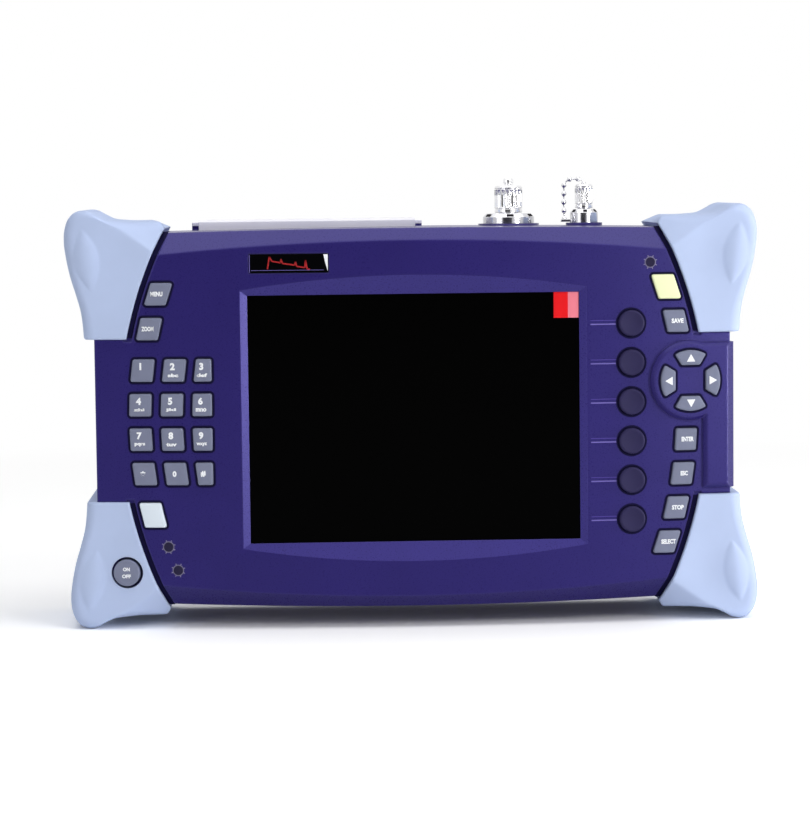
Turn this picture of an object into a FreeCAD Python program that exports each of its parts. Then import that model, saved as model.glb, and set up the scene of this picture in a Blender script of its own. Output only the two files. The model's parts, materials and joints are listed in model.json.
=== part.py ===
"""Optical time domain reflectometer, built as an assembly of separate pieces.

Millimetres.  X points to the instrument's right as its user sees it, Y points to the back and
Z points up.  The origin lies on the surface it stands on, under the middle of its depth.
Heights in the table are measured from the middle of the casing unless their name says otherwise.
"""
import FreeCAD, Part
import math
import os
import Sketcher
from FreeCAD import Placement, Rotation, Vector

SIZES = [
    # whole casing
    ("mid_z", 83.8, "height of the casing's middle above the soles"),
    ("body_half_width", 127.0, "side walls"),
    ("body_half_height", 75.6, "long edges, at the middle of their arch"),
    ("edge_arch_radius", 4500.0, "arch of the long edges"),
    ("body_corner", 12.0, "corner radius of the casing"),
    ("front_y", -34.0, "foremost line of the crowned face"),
    ("split_y", 0.0, "joint between the two shells"),
    ("back_y", 31.0, "back face"),
    ("crown_radius", 900.0, "crown of the front face across its width"),
    ("wall", 2.5, "shell wall"),
    ("back_wall", 4.5, "wall of the back face"),
    ("bevel_radius", 482.5, "radius of the arched bevel line on the front face"),
    ("bevel_height", 70.8, "bevel line above the middle, at the centre"),
    ("back_round", 5.0, "rounding of the back edges"),
    # bumpers
    ("bumper_arc_radius", 164.0, "arc of the bumpers' inner edges"),
    ("bumper_arc_reach", 117.4, "widest point of that arc from the middle"),
    ("bumper_end", 32.5, "height where a bumper stops beside the middle"),
    ("bumper_proud", 1.5, "front of a bumper before the casing's face"),
    ("bumper_side", 131.3, "outer side of a bumper at its inner end"),
    ("bumper_top", 79.2, "flat outer edge of a bumper"),
    ("bumper_back_y", 34.0, "back of the bumpers"),
    ("bumper_seat", 1.2, "how far a bumper is let into the face"),
    ("bumper_round", 3.0, "rounding of the bumpers' outer edges"),
    ("lobe_side", 138.8, "reach of the lobes to the side"),
    ("sole_inner", 129.0, "inner edge of the flat sole of a lobe"),
    ("sole_width", 3.2, "width of that sole"),
    ("saddle_width", 9.6, "slope from the sole to the flat outer edge"),
    ("facet_x", 101.0, "inner end of the facet along a bumper's flat outer edge"),
    ("facet_height", 13.2, "width of that facet at its inner end"),
    ("facet_length", 19.0, "length of that facet"),
    ("facet_depth", 10.7, "depth of that facet at its inner corner"),
    ("core_half_width", 124.4, "casing under the bumpers"),
    ("core_half_height", 72.0, "casing under the bumpers"),
    ("core_corner", 11.0, "corner radius under the bumpers"),
    ("core_back_y", 29.8, "back of the casing under the bumpers"),
    ("pad_x", 129.4, "middle of the raised almond pad on a lobe"),
    ("pad_height", 63.6, "middle of that pad above the casing's middle"),
    ("pad_width", 10.0, "width of the pad"),
    ("pad_length", 23.0, "length of the pad"),
    ("pad_rise", 1.1, "rise of the pad"),
    ("fit", 0.1, "clearance between pieces that are fixed together"),
    ("groove_width", 2.2, "groove beside a bumper"),
    ("groove_depth", 1.0, "depth of that groove"),
    # inside of the shells
    ("cavity_half_width", 121.8, "hollow under the bumpers"),
    ("cavity_half_height", 69.4, "hollow under the bumpers"),
    ("cavity_corner", 9.0, "corner radius of the hollow"),
    ("long_wall", 3.5, "walls of the long edges, at the middle of their arch"),
    ("bevel_wall", 3.5, "wall behind the bevels, across the casing"),
    ("bumper_span", 24.0, "depth of the bumpers' inner arcs along the casing"),
    # screen
    ("window_width", 132.0, "visible window"),
    ("window_height", 99.0, "visible window"),
    ("window_y", -29.8, "front of the glass"),
    ("window_lip", 0.6, "straight lip in front of the glass"),
    ("window_rim", 2.0, "glass hidden behind the lip"),
    ("window_thickness", 2.0, "glass"),
    ("chamfer_top", 7.5, "window chamfer above and below, at the middle"),
    ("chamfer_side", 2.9, "window chamfer at the sides"),
    ("lcd_width", 153.0, "display module"),
    ("lcd_height", 118.0, "display module"),
    ("lcd_thickness", 8.0, "display module"),
    ("lcd_play", 0.5, "room around the display module"),
    ("foot_inset", 7.0, "feet of the display module from its edges"),
    ("tab_left", 55.8, "left edge of the film tab"),
    ("tab_bottom", 39.1, "lower edge of the film tab"),
    ("tab_width", 10.0, "film tab"),
    ("tab_height", 10.3, "film tab"),
    ("tab_thickness", 0.2, "film tab"),
    # keys
    ("key_clearance", 0.35, "gap between a key and its well"),
    ("key_proud", 1.1, "keys before the face"),
    ("key_chamfer", 0.5, "broken top edges of a key"),
    ("key_rim", 0.8, "rim that keeps a key behind its well"),
    ("key_rim_gap", 0.3, "gap between that rim and the wall"),
    ("key_back_y", -20.4, "furthest point of each key's back"),
    ("key_margin", 8.35, "middle of the outer keys inside the bumper arc"),
    ("pad_key_width", 8.9, "numeric key"),
    ("pad_key_height", 9.0, "numeric key"),
    ("pad_pitch_x", 12.6, "numeric key columns"),
    ("pad_pitch_z", 13.77, "numeric key rows"),
    ("pad_middle", -0.55, "middle of the numeric rows"),
    ("pad_edge", 80.4, "straight inner edge of the third column"),
    ("function_width", 8.7, "function key"),
    ("function_height", 8.9, "function key"),
    ("shift_width", 8.8, "pale key"),
    ("shift_height", 9.9, "pale key"),
    ("start_width", 9.2, "yellow key"),
    ("start_height", 9.7, "yellow key"),
    ("soft_x", 86.7, "column of soft keys"),
    ("soft_radius", 5.25, "soft key"),
    ("soft_pitch", 15.7, "soft keys"),
    ("soft_middle", -2.6, "middle of the soft keys"),
    ("soft_proud", 1.6, "soft keys before the face"),
    ("power_x", -115.4, "power button"),
    ("power_height", -60.7, "power button"),
    ("power_radius", 5.35, "power button"),
    ("power_proud", 0.7, "power button before its bumper"),
    ("power_ring", 6.3, "hole for it in the bumper"),
    # cursor island
    ("island_x", 110.1, "middle of the cursor keys"),
    ("island_height", 13.4, "middle of the cursor keys"),
    ("island_radius", 16.1, "round end of the island"),
    ("island_raise", 2.4, "island before the face"),
    ("island_round", 1.4, "slope of the island's edge"),
    ("strip_bevel", 3.4, "bevel along the strip's outer edge"),
    ("strip_inner", 115.6, "inner edge of the grip strip"),
    ("strip_outer", 128.8, "outer face of the grip strip"),
    ("strip_top", 28.5, "top of the grip strip"),
    ("strip_bottom", -30.0, "bottom of the grip strip"),
    ("strip_back_y", -2.0, "back of the grip strip"),
    ("cursor_outer", 12.2, "outer radius of the cursor keys"),
    ("cursor_inner", 6.2, "inner flat of the cursor keys"),
    ("cursor_half_angle", 31.0, "half the angle of a cursor key, degrees"),
    # name plate and lights
    ("plate_left", -64.9, "name plate"),
    ("plate_bottom", 58.4, "name plate"),
    ("plate_width", 31.3, "name plate"),
    ("plate_height", 7.4, "name plate"),
    ("plate_seat", 0.6, "depth of its recess"),
    ("plate_proud", 0.3, "plate before the face"),
    ("light_radius", 1.9, "light pipes"),
    ("light_proud", 0.3, "light pipes before the face"),
    # boards
    ("mat_front_y", -18.8, "front of the key mats"),
    ("board_y", -17.6, "front of the key board"),
    ("board_thickness", 1.6, "circuit boards"),
    ("board_side_gap", 2.3, "key board inside the hollow, at its sides"),
    ("board_end_gap", 0.6, "key board inside the hollow, above and below"),
    ("mat_inner", 78.0, "inner edge of the key mats"),
    ("mat_half_height", 66.0, "key mats"),
    ("dome_half", 2.2, "half the width of a contact pad on the key mats"),
    ("dome_height", 0.6, "contact pads of the key mats"),
    ("main_y", -9.6, "front of the main board"),
    ("main_half_width", 105.0, "main board"),
    ("main_half_height", 60.0, "main board"),
    ("spacer_x", 99.0, "spacers between the boards"),
    ("spacer_height", 54.0, "spacers between the boards"),
    ("spacer_radius", 3.0, "spacers between the boards"),
    ("can_height", 4.0, "shield cans in front of the main board"),
    ("optics_left", 20.0, "optics module"),
    ("optics_bottom", 6.0, "optics module"),
    ("optics_width", 70.0, "optics module"),
    ("optics_height", 44.0, "optics module"),
    ("optics_thickness", 16.0, "optics module"),
    ("spool_x", 45.0, "middle of the fibre spool, to the left"),
    ("spool_height", 24.0, "middle of the fibre spool"),
    ("spool_radius", 32.0, "fibre spool"),
    ("spool_bore", 20.0, "fibre spool"),
    ("spool_thickness", 9.0, "fibre spool"),
    ("post_x", 88.0, "screw posts"),
    ("post_edge", 9.4, "screw posts from the long edges"),
    ("post_radius", 3.5, "screw posts"),
    ("post_play", 0.5, "room around a post where it passes a board"),
    ("screw_radius", 1.5, "housing screws"),
    ("screw_head_radius", 2.9, "housing screws"),
    ("screw_head", 2.6, "height of a screw head"),
    ("screw_sink", 3.0, "depth of a screw's counterbore"),
    ("screw_length", 40.0, "housing screws under the head"),
    ("screw_grip", 16.0, "thread in the front posts"),
    ("screw_socket", 1.4, "hexagon socket, to its corners"),
    ("socket_floor", 1.0, "screw head left under the hexagon socket"),
    # battery
    ("bay_half_width", 67.0, "battery bay"),
    ("bay_bottom", -66.0, "battery bay"),
    ("bay_top", -18.0, "battery bay"),
    ("bay_wall", 2.0, "battery bay"),
    ("bay_floor_y", 7.5, "floor of the bay"),
    ("cover_ledge", 2.0, "ledge around the bay under its cover"),
    ("cover_thickness", 2.5, "battery cover"),
    ("battery_play", 0.3, "play of the battery in its bay"),
    ("grip_half_width", 14.0, "finger grooves in the battery cover"),
    ("grip_groove", 1.2, "width of a finger groove"),
    ("grip_depth", 0.8, "depth of a finger groove"),
    # stand
    ("stand_half_width", 48.0, "tilt stand"),
    ("stand_bottom", -8.0, "tilt stand"),
    ("stand_thickness", 4.0, "tilt stand"),
    ("stand_frame", 13.0, "frame around the stand's opening"),
    ("stand_gap", 0.4, "clearance around the stand"),
    ("stand_pivot", 58.5, "pivot of the stand"),
    ("stand_y", 26.7, "front of the stand when folded"),
    ("stand_pin_radius", 1.2, "pivot pins"),
    ("stand_pin_length", 9.0, "pivot pins"),
    ("pin_play", 0.08, "play of a pivot in its hole"),
    ("notch_half_width", 10.0, "finger notch under the stand"),
    ("notch_height", 7.5, "finger notch under the stand"),
    ("notch_depth", 1.2, "finger notch in front of the folded stand"),
    # ports on top
    ("port_y", 14.0, "row of optical ports"),
    ("wide_x", 41.3, "wide port"),
    ("narrow_x", 72.5, "narrow port"),
    ("seat_height", 76.2, "flat seats of the ports"),
    ("wide_seat_radius", 12.5, "seat of the wide port"),
    ("narrow_seat_radius", 7.5, "seat of the narrow port"),
    ("seat_thickness", 3.0, "seats of the ports"),
    ("wide_flange_radius", 10.6, "flange of the wide port"),
    ("wide_flange_height", 4.1, "flange of the wide port"),
    ("wide_cap_radius", 5.75, "cap of the wide port"),
    ("wide_cap_height", 11.4, "cap of the wide port"),
    ("narrow_flange_radius", 5.75, "flange of the narrow port"),
    ("narrow_flange_height", 5.6, "flange of the narrow port"),
    ("narrow_cap_radius", 3.7, "cap of the narrow port"),
    ("narrow_cap_height", 10.2, "cap of the narrow port"),
    ("port_tail_radius", 4.2, "body of a port through the wall"),
    ("port_tail", 12.0, "length of that body under the seat"),
    ("barrel_height", 7.5, "barrel above a flange"),
    ("barrel_radius", 4.0, "threaded barrel of the wide port"),
    ("narrow_barrel", 2.6, "barrel of the narrow port"),
    ("barrel_wall", 0.9, "wall of a barrel"),
    ("flange_bevel", 1.4, "bevel of a flange"),
    ("ferrule_radius", 1.25, "ferrule in a port"),
    ("ferrule_inset", 1.0, "ferrule inside the barrel"),
    ("cap_bevel", 0.8, "broken top edge of a cap"),
    ("cap_gap", 0.3, "clearance of a cap"),
    ("knob_radius", 2.1, "knob of the wide cap"),
    ("knob_height", 3.0, "knob of the wide cap"),
    ("chain_radius", 0.7, "cap chain"),
    ("chain_drop", 2.4, "chain beside the narrow flange"),
    ("lug_reach", 3.8, "chain lug beyond the narrow flange"),
    ("lug_bottom", 0.4, "chain lug above the seat"),
    ("lug_thickness", 1.0, "chain lug"),
    ("lug_half_width", 1.5, "chain lug"),
    # connector bay
    ("flap_left", -85.9, "connector flap"),
    ("flap_right", 2.4, "connector flap"),
    ("flap_front_y", 5.0, "connector flap"),
    ("flap_pivot_y", 24.0, "pivot of the flap"),
    ("flap_rise", 3.4, "flap above the casing's top"),
    ("flap_sink", 1.6, "flap below the casing's top"),
    ("flap_gap", 0.35, "clearance around the flap"),
    ("flap_chamfer", 0.8, "broken top edges of the flap"),
    ("flap_barrel", 1.7, "hinge barrel of the flap"),
    ("flap_pin_radius", 0.8, "hinge pins of the flap"),
    ("flap_lug", 3.0, "width of the hinge lugs"),
    ("lug_half_depth", 2.6, "hinge lugs, across the hinge"),
    ("lug_rise", 2.2, "hinge lugs above the casing's top"),
    ("flap_pin_reach", 1.5, "hinge pins beyond the flap's ends"),
    ("bay_side", 3.0, "material beside the connector bay"),
    ("bay_depth", 4.0, "material under the connector bay"),
    ("panel_thickness", 1.5, "connector panel"),
    ("panel_ledge", 1.5, "ledge that carries the connector panel"),
    ("socket_y", 13.5, "row of sockets"),
    ("socket_depth", 13.0, "length of the sockets"),
    ("socket_wall", 0.8, "metal of the sockets"),
    ("tongue_half_width", 5.2, "tongues in the flat sockets"),
    ("tongue_thickness", 1.8, "tongues in the flat sockets"),
]

doc = FreeCAD.newDocument("reflectometer")
sheet = doc.addObject("Spreadsheet::Sheet", "dims")
for row, (alias, number, note) in enumerate(SIZES, start=1):
    sheet.set(f"A{row}", note)
    sheet.set(f"B{row}", str(number))
    sheet.setAlias(f"B{row}", alias)
doc.recompute()


ALIASES = [alias for alias, _, _ in SIZES]
S = {alias: float(sheet.get(alias)) for alias in ALIASES}
MID = S["mid_z"]
PARTS = []


def bound(expression):
    """A sum of aliases and numbers as other objects write it, such as "mid_z + bay_top"."""
    words = expression.split()
    return " ".join(f"dims.{word}" if word in ALIASES else word for word in words)


def value(expression):
    """The number that such an expression has now."""
    return float(sheet.evalExpression(expression))


def register(obj, label):
    """Give a finished sub-part the name of its node."""
    obj.Label = label
    PARTS.append(obj)
    return obj


def feature(label, shape, frame=None):
    """A sub-part whose shape is computed from the sheet's sizes, placed by its frame if it has one."""
    obj = doc.addObject("Part::Feature", label)
    obj.Shape = shape
    if frame is not None:
        obj.Placement = frame
    return register(obj, label)


# ---------------------------------------------------------------- PartDesign helpers

def new_body(label):
    """An empty body named after its node."""
    return doc.addObject("PartDesign::Body", label)


def origin_plane(body, role):
    """One of the body's own origin planes."""
    return next(item for item in body.Origin.OriginFeatures if item.Role == role)


def new_sketch(body, name, role, offset):
    """A sketch on an origin plane, moved along the plane's normal by the expression."""
    sketch = body.newObject("Sketcher::SketchObject", name)
    sketch.AttachmentSupport = [(origin_plane(body, role), "")]
    sketch.MapMode = "FlatFace"
    sketch.setExpression("AttachmentOffset.Base.z", bound(offset))
    return sketch


def add_rectangle(sketch, left, right, low, high):
    """A rectangle whose four edges lie at the given expressions."""
    x0, x1, y0, y1 = value(left), value(right), value(low), value(high)
    corners = [Vector(x0, y0), Vector(x1, y0), Vector(x1, y1), Vector(x0, y1)]
    first = sketch.GeometryCount
    for here, there in zip(corners, corners[1:] + corners[:1]):
        sketch.addGeometry(Part.LineSegment(here, there))
    for i in range(4):
        sketch.addConstraint(Sketcher.Constraint("Coincident", first + i, 2, first + (i + 1) % 4, 1))
    for i, kind in enumerate(("Horizontal", "Vertical", "Horizontal", "Vertical")):
        sketch.addConstraint(Sketcher.Constraint(kind, first + i))
    places = (("DistanceX", 1, left, x0), ("DistanceY", 1, low, y0),
              ("DistanceX", 2, right, x1), ("DistanceY", 2, high, y1))
    for axis, (kind, point, expression, number) in enumerate(places):
        edge = first + (0 if axis < 3 else 1)
        index = sketch.addConstraint(Sketcher.Constraint(kind, -1, 1, edge, point, number))
        sketch.setExpression(f"Constraints[{index}]", bound(expression))


def add_circle(sketch, x, y, radius):
    """A circle whose centre and radius are expressions."""
    index = sketch.addGeometry(Part.Circle(Vector(value(x), value(y)), Vector(0, 0, 1), value(radius)))
    for kind, expression in (("DistanceX", x), ("DistanceY", y)):
        at = sketch.addConstraint(Sketcher.Constraint(kind, -1, 1, index, 3, value(expression)))
        sketch.setExpression(f"Constraints[{at}]", bound(expression))
    at = sketch.addConstraint(Sketcher.Constraint("Radius", index, value(radius)))
    sketch.setExpression(f"Constraints[{at}]", bound(radius))


def pad_forward(body, name, back, depth, draw):
    """Pad towards the front from the plane Y = back; draw(sketch) fills the sketch in X and Z."""
    sketch = new_sketch(body, f"{name}_sketch", "XZ_Plane", f"0 - ( {back} )")
    draw(sketch)
    pad = body.newObject("PartDesign::Pad", name)
    pad.Profile = sketch
    pad.setExpression("Length", bound(depth))
    return pad


def pocket_forward(body, name, back, depth, draw):
    """Cut towards the front from the plane Y = back."""
    sketch = new_sketch(body, f"{name}_sketch", "XZ_Plane", f"0 - ( {back} )")
    draw(sketch)
    pocket = body.newObject("PartDesign::Pocket", name)
    pocket.Profile = sketch
    pocket.Reversed = True
    pocket.setExpression("Length", bound(depth))
    return pocket


def pad_up(body, name, bottom, height, draw):
    """Pad upwards from the plane Z = bottom; draw(sketch) fills the sketch in X and Y."""
    sketch = new_sketch(body, f"{name}_sketch", "XY_Plane", bottom)
    draw(sketch)
    pad = body.newObject("PartDesign::Pad", name)
    pad.Profile = sketch
    pad.setExpression("Length", bound(height))
    return pad


def turned(body, name, outline):
    """Solid of revolution about the body's Z axis; outline holds pairs of expressions (radius, Z)."""
    sketch = new_sketch(body, f"{name}_sketch", "XZ_Plane", "0")
    points = [Vector(value(radius), value(height)) for radius, height in outline]
    for here, there in zip(points, points[1:] + points[:1]):
        sketch.addGeometry(Part.LineSegment(here, there))
    for i in range(len(points)):
        sketch.addConstraint(Sketcher.Constraint("Coincident", i, 2, (i + 1) % len(points), 1))
    for i, (radius, height) in enumerate(outline):
        for kind, expression in (("DistanceX", radius), ("DistanceY", height)):
            at = sketch.addConstraint(Sketcher.Constraint(kind, -1, 1, i, 1, value(expression)))
            sketch.setExpression(f"Constraints[{at}]", bound(expression))
    revolution = body.newObject("PartDesign::Revolution", name)
    revolution.Profile = sketch
    revolution.ReferenceAxis = (sketch, ["V_Axis"])
    revolution.Angle = 360.0
    return revolution


def along_y(edge):
    """True for an edge that runs straight from front to back."""
    return edge.BoundBox.YLength > 1 and edge.BoundBox.XLength < 0.01 and edge.BoundBox.ZLength < 0.01


def round_edges(body, name, radius, test):
    """Fillet the tip's edges that pass the test."""
    doc.recompute()
    base = body.Tip
    names = [f"Edge{index}" for index, edge in enumerate(base.Shape.Edges, start=1) if test(edge)]
    fillet = body.newObject("PartDesign::Fillet", name)
    fillet.Base = (base, names)
    fillet.setExpression("Radius", bound(radius))
    return fillet


# ---------------------------------------------------------------- forms that pieces share

TALL = 2 * MID + 60
DEEP = 120.0
OVER = 5.0      # how far a tool runs past the faces that it cuts


def crown(offset):
    """Everything behind the crowned front face, moved out by offset."""
    radius = S["crown_radius"] + offset
    axis = Vector(0, S["front_y"] + S["crown_radius"], MID - TALL / 2)
    return Part.makeCylinder(radius, TALL, axis)


def crown_y(x, offset=0.0):
    """Depth of the crowned face at a distance from the middle."""
    radius = S["crown_radius"]
    return S["front_y"] + radius - math.sqrt((radius + offset) ** 2 - x ** 2)


def bevels(offset):
    """Everything inside the two arched bevels, moved out by offset."""
    start = S["front_y"] - 20
    first = S["bevel_radius"] + offset - 20
    drop = S["bevel_height"] - S["bevel_radius"]
    cones = []
    for side in (1, -1):
        centre = Vector(0, start, MID + side * drop)
        cone = Part.makeCone(first, first + DEEP, DEEP, centre, Vector(0, 1, 0))
        if side > 0:
            cone.rotate(centre, Vector(0, 1, 0), 180)
        cones.append(cone)
    return cones[0].common(cones[1])


def prism(wire, y0, y1):
    """Solid from a closed wire in the XZ plane, between two depths."""
    face = Part.Face(wire)
    face.translate(Vector(0, y0, 0))
    return face.extrude(Vector(0, y1 - y0, 0))


def block(x0, x1, y0, y1, z0, z1):
    """Box between limits; heights count from the casing's middle."""
    return Part.makeBox(x1 - x0, y1 - y0, z1 - z0, Vector(x0, y0, MID + z0))


def rod(x, height, radius, y0, y1):
    """Cylinder along Y."""
    return Part.makeCylinder(radius, y1 - y0, Vector(x, y0, MID + height), Vector(0, 1, 0))


def rounded_block(half_width, half_height, corner, y0, y1):
    """Block about the casing's middle with rounded corners."""
    shape = block(-half_width, half_width, y0, y1, -half_height, half_height)
    uprights = [edge for edge in shape.Edges
                if abs(edge.BoundBox.YLength - (y1 - y0)) < 0.01 and edge.BoundBox.XLength < 0.01]
    return shape.makeFillet(corner, uprights)


def casing_outline():
    """Front view of the casing: arched long edges, straight sides, round corners."""
    half, corner, arch = S["body_half_width"], S["body_corner"], S["edge_arch_radius"]
    end = half - corner
    edge = S["body_half_height"] - (arch - math.sqrt(arch ** 2 - end ** 2))
    diagonal = corner * math.sqrt(0.5)
    edges = []
    for side in (1, -1):
        top = MID + side * S["body_half_height"]
        level = MID + side * edge
        centre = level - side * corner
        edges.append(Part.Arc(Vector(-side * end, 0, level), Vector(0, 0, top), Vector(side * end, 0, level)))
        edges.append(Part.Arc(Vector(side * end, 0, level),
                              Vector(side * (end + diagonal), 0, centre + side * diagonal),
                              Vector(side * half, 0, centre)))
        edges.append(Part.LineSegment(Vector(side * half, 0, centre),
                                      Vector(side * half, 0, 2 * MID - centre)))
        edges.append(Part.Arc(Vector(side * half, 0, 2 * MID - centre),
                              Vector(side * (end + diagonal), 0, 2 * MID - centre - side * diagonal),
                              Vector(side * end, 0, 2 * MID - level)))
    return edges


def casing_blank(y0, y1):
    """The casing's outer form between two depths, before the bumpers are let in."""
    edges = [curve.toShape() for curve in casing_outline()]
    return prism(Part.Wire(Part.__sortEdges__(edges)), y0, y1)


def core(offset=0.0):
    """The casing's form under the bumpers."""
    corner = S["core_corner"] + offset
    shape = rounded_block(S["core_half_width"] + offset, S["core_half_height"] + offset, corner,
                          S["front_y"] - OVER, S["core_back_y"] + offset)
    return shape.common(crown(offset - S["bumper_seat"])).common(bevels(offset - S["bumper_seat"]))


def cavity(y0, y1):
    """Hollow of the shells between two depths."""
    wall = S["wall"]
    low = rounded_block(S["cavity_half_width"], S["cavity_half_height"], S["cavity_corner"], y0, y1)
    inner = S["bumper_arc_reach"] - S["bumper_span"]
    top = S["body_half_height"] - S["long_wall"]
    tall = block(-inner, inner, y0, y1, -top, top)
    side = S["body_half_width"] - wall
    end = S["bumper_end"] - wall
    wide = block(-side, side, y0, y1, -end, end)
    shape = low.fuse([tall, wide])
    return shape.common(crown(-wall)).common(bevels(-S["bevel_wall"]))


def bumper_arc_x(height):
    """Distance of the bumpers' inner arc from the casing's middle at a height."""
    radius = S["bumper_arc_radius"]
    return S["bumper_arc_reach"] - radius + math.sqrt(radius ** 2 - height ** 2)


def arc_chain(points, direction, inset):
    """Arcs through points in the XZ plane, each tangent to the last, all moved to the left by inset."""
    arcs = []
    here = points[0] + Vector(-direction.z, 0, direction.x) * inset
    for start, end in zip(points, points[1:]):
        chord = (end - start).normalize()
        side = Vector(-chord.z, 0, chord.x)
        bend = math.atan2(direction.dot(side), direction.dot(chord))
        direction = chord * (2 * direction.dot(chord)) - direction
        there = end + Vector(-direction.z, 0, direction.x) * inset
        middle = (here + there) / 2 + side * ((there - here).Length / 2 * math.tan(bend / 2))
        arcs.append(Part.Arc(here, middle, there))
        here = there
    return arcs


def heading(degrees):
    """Unit vector in the XZ plane, turned from +Z towards -X."""
    return Vector(-math.sin(math.radians(degrees)), 0, math.cos(math.radians(degrees)))


def bumper_outline(inset=0.0, grow=0.0):
    """Front view of the upper right bumper: inset draws its outer edges in for the rounding, grow
    moves its edges on the casing's face outwards."""
    top, lobe_top = MID + S["bumper_top"], 2 * MID
    sole, sole_end = S["sole_inner"], S["sole_inner"] + S["sole_width"]
    side, reach, low = S["bumper_side"], S["lobe_side"], MID + S["bumper_end"] - grow
    radius = S["bumper_arc_radius"] - grow
    centre = S["bumper_arc_reach"] - S["bumper_arc_radius"]

    def on_arc(height):
        return Vector(centre + math.sqrt(radius ** 2 - height ** 2), 0, MID + height)

    start, end = on_arc(S["body_half_height"] + 0.6), on_arc(S["bumper_end"] - grow)
    flank = [Vector(side, 0, low), Vector(side + 2.7, 0, lobe_top - 33.8),
             Vector(reach - 2.4, 0, lobe_top - 26.6), Vector(reach, 0, lobe_top - 13.3),
             Vector(reach - 2.1, 0, lobe_top - 4.4), Vector(sole_end, 0, lobe_top)]
    half = S["saddle_width"] / 2
    slope = [Vector(sole, 0, lobe_top), Vector(sole - half, 0, (lobe_top + top) / 2),
             Vector(sole - 2 * half, 0, top)]
    outer = arc_chain(flank, heading(0), inset)
    saddle = arc_chain(slope, heading(105), inset)
    lip = Vector(start.x + 2.5, 0, top - inset)
    curves = [Part.Arc(start, on_arc((S["body_half_height"] + S["bumper_end"]) / 2), end),
              Part.LineSegment(end, outer[0].StartPoint), *outer,
              Part.LineSegment(outer[-1].EndPoint, saddle[0].StartPoint), *saddle,
              Part.LineSegment(saddle[-1].EndPoint, lip), Part.LineSegment(lip, start)]
    return Part.Wire([curve.toShape() for curve in curves])


def bumper_face(x):
    """Depth of a bumper's flat front, which touches the raised crown at the pad."""
    slope = math.tan(math.asin(S["pad_x"] / S["crown_radius"]))
    return crown_y(S["pad_x"]) - S["bumper_proud"] + slope * (x - S["pad_x"])


def bumper_blank(grow=0.0):
    """Upper right bumper before the casing's core is taken out of it: rounded in front and behind."""
    if grow:
        return prism(bumper_outline(0.0, grow), S["front_y"] - 10, S["bumper_back_y"] + 5)
    rings = []
    for angle in (0, 45, 90):
        inset = S["bumper_round"] * (1 - math.sin(math.radians(angle)))
        depth = S["bumper_round"] * (1 - math.cos(math.radians(angle)))
        rings.append((inset, depth))
    wires = []
    for inset, depth in rings:
        matrix = FreeCAD.Matrix()
        matrix.A21 = bumper_face(1) - bumper_face(0)
        matrix.A24 = bumper_face(0) + depth
        wires.append(bumper_outline(inset).transformGeometry(matrix))
    for inset, depth in reversed(rings):
        wire = bumper_outline(inset)
        wire.translate(Vector(0, S["bumper_back_y"] - depth, 0))
        wires.append(wire)
    return Part.makeLoft(wires, True, True)


def four_corners(shape):
    """The upper right shape mirrored into all four corners."""
    left = shape.mirror(Vector(0, 0, MID), Vector(1, 0, 0))
    lower = Vector(0, 0, 1)
    return {"top_right": shape, "top_left": left,
            "bottom_right": shape.mirror(Vector(0, 0, MID), lower),
            "bottom_left": left.mirror(Vector(0, 0, MID), lower)}


# ---------------------------------------------------------------- keys

def lean(side, height):
    """Sideways shift per unit of height of the bumpers' arc, which the key sides follow."""
    return -side * height / math.sqrt(S["bumper_arc_radius"] ** 2 - height ** 2)


def key_quad(side, x, height, width, tall, grow, edge=None):
    """Leaning key outline grown all round; edge is the straight inner side of the third column."""
    slope = lean(side, height)
    half_w, half_h = width / 2 + grow, tall / 2 + grow
    corners = []
    for sx, sz in ((-1, -1), (1, -1), (1, 1), (-1, 1)):
        px = x + sx * half_w + sz * half_h * slope
        if edge is not None and sx * side < 0:
            px = -side * -edge - side * grow if side > 0 else edge + grow
        corners.append(Vector(px, 0, MID + height + sz * half_h))
    return Part.makePolygon(corners + corners[:1])


def cursor_sector(turn, grow):
    """Cut-off sector of a cursor key, turned about the island's middle."""
    half = math.radians(S["cursor_half_angle"])
    outer, inner = S["cursor_outer"] + grow, S["cursor_inner"] - grow
    spread = grow / math.cos(half)
    low_x = inner * math.tan(half) + spread
    tilt = half + math.asin(grow / outer)
    high_x, high_z = outer * math.sin(tilt), outer * math.cos(tilt)
    centre = Vector(S["island_x"], 0, MID + S["island_height"])
    corners = [Vector(-low_x, 0, inner), Vector(low_x, 0, inner), Vector(high_x, 0, high_z),
               Vector(0, 0, outer), Vector(-high_x, 0, high_z)]
    a, b, c, top, d = [centre + corner for corner in corners]
    edges = [Part.LineSegment(a, b), Part.LineSegment(b, c), Part.Arc(c, top, d), Part.LineSegment(d, a)]
    wire = Part.Wire([edge.toShape() for edge in edges])
    wire.rotate(centre, Vector(0, 1, 0), turn)
    return wire


def round_outline(x, height, radius):
    """Round key outline."""
    circle = Part.Circle(Vector(x, 0, MID + height), Vector(0, 1, 0), radius)
    return Part.Wire(circle.toShape())


def face_frame(x, proud):
    """Placement that lays the plane Y = 0 at x against the crowned face, moved out by proud."""
    angle = math.asin(x / S["crown_radius"])
    turn = Rotation(Vector(0, 0, 1), math.degrees(angle))
    foot = Vector(x, 0, 0)
    radius = S["crown_radius"] + proud
    at = Vector(radius * math.sin(angle), S["front_y"] + S["crown_radius"] - radius * math.cos(angle), 0)
    return Placement(at - turn.multVec(foot), turn)


def on_face(shape, x, proud):
    """A shape drawn on the plane Y = 0, placed on the face at x."""
    placed = shape.copy()
    placed.Placement = face_frame(x, proud).multiply(placed.Placement)
    return placed


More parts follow.
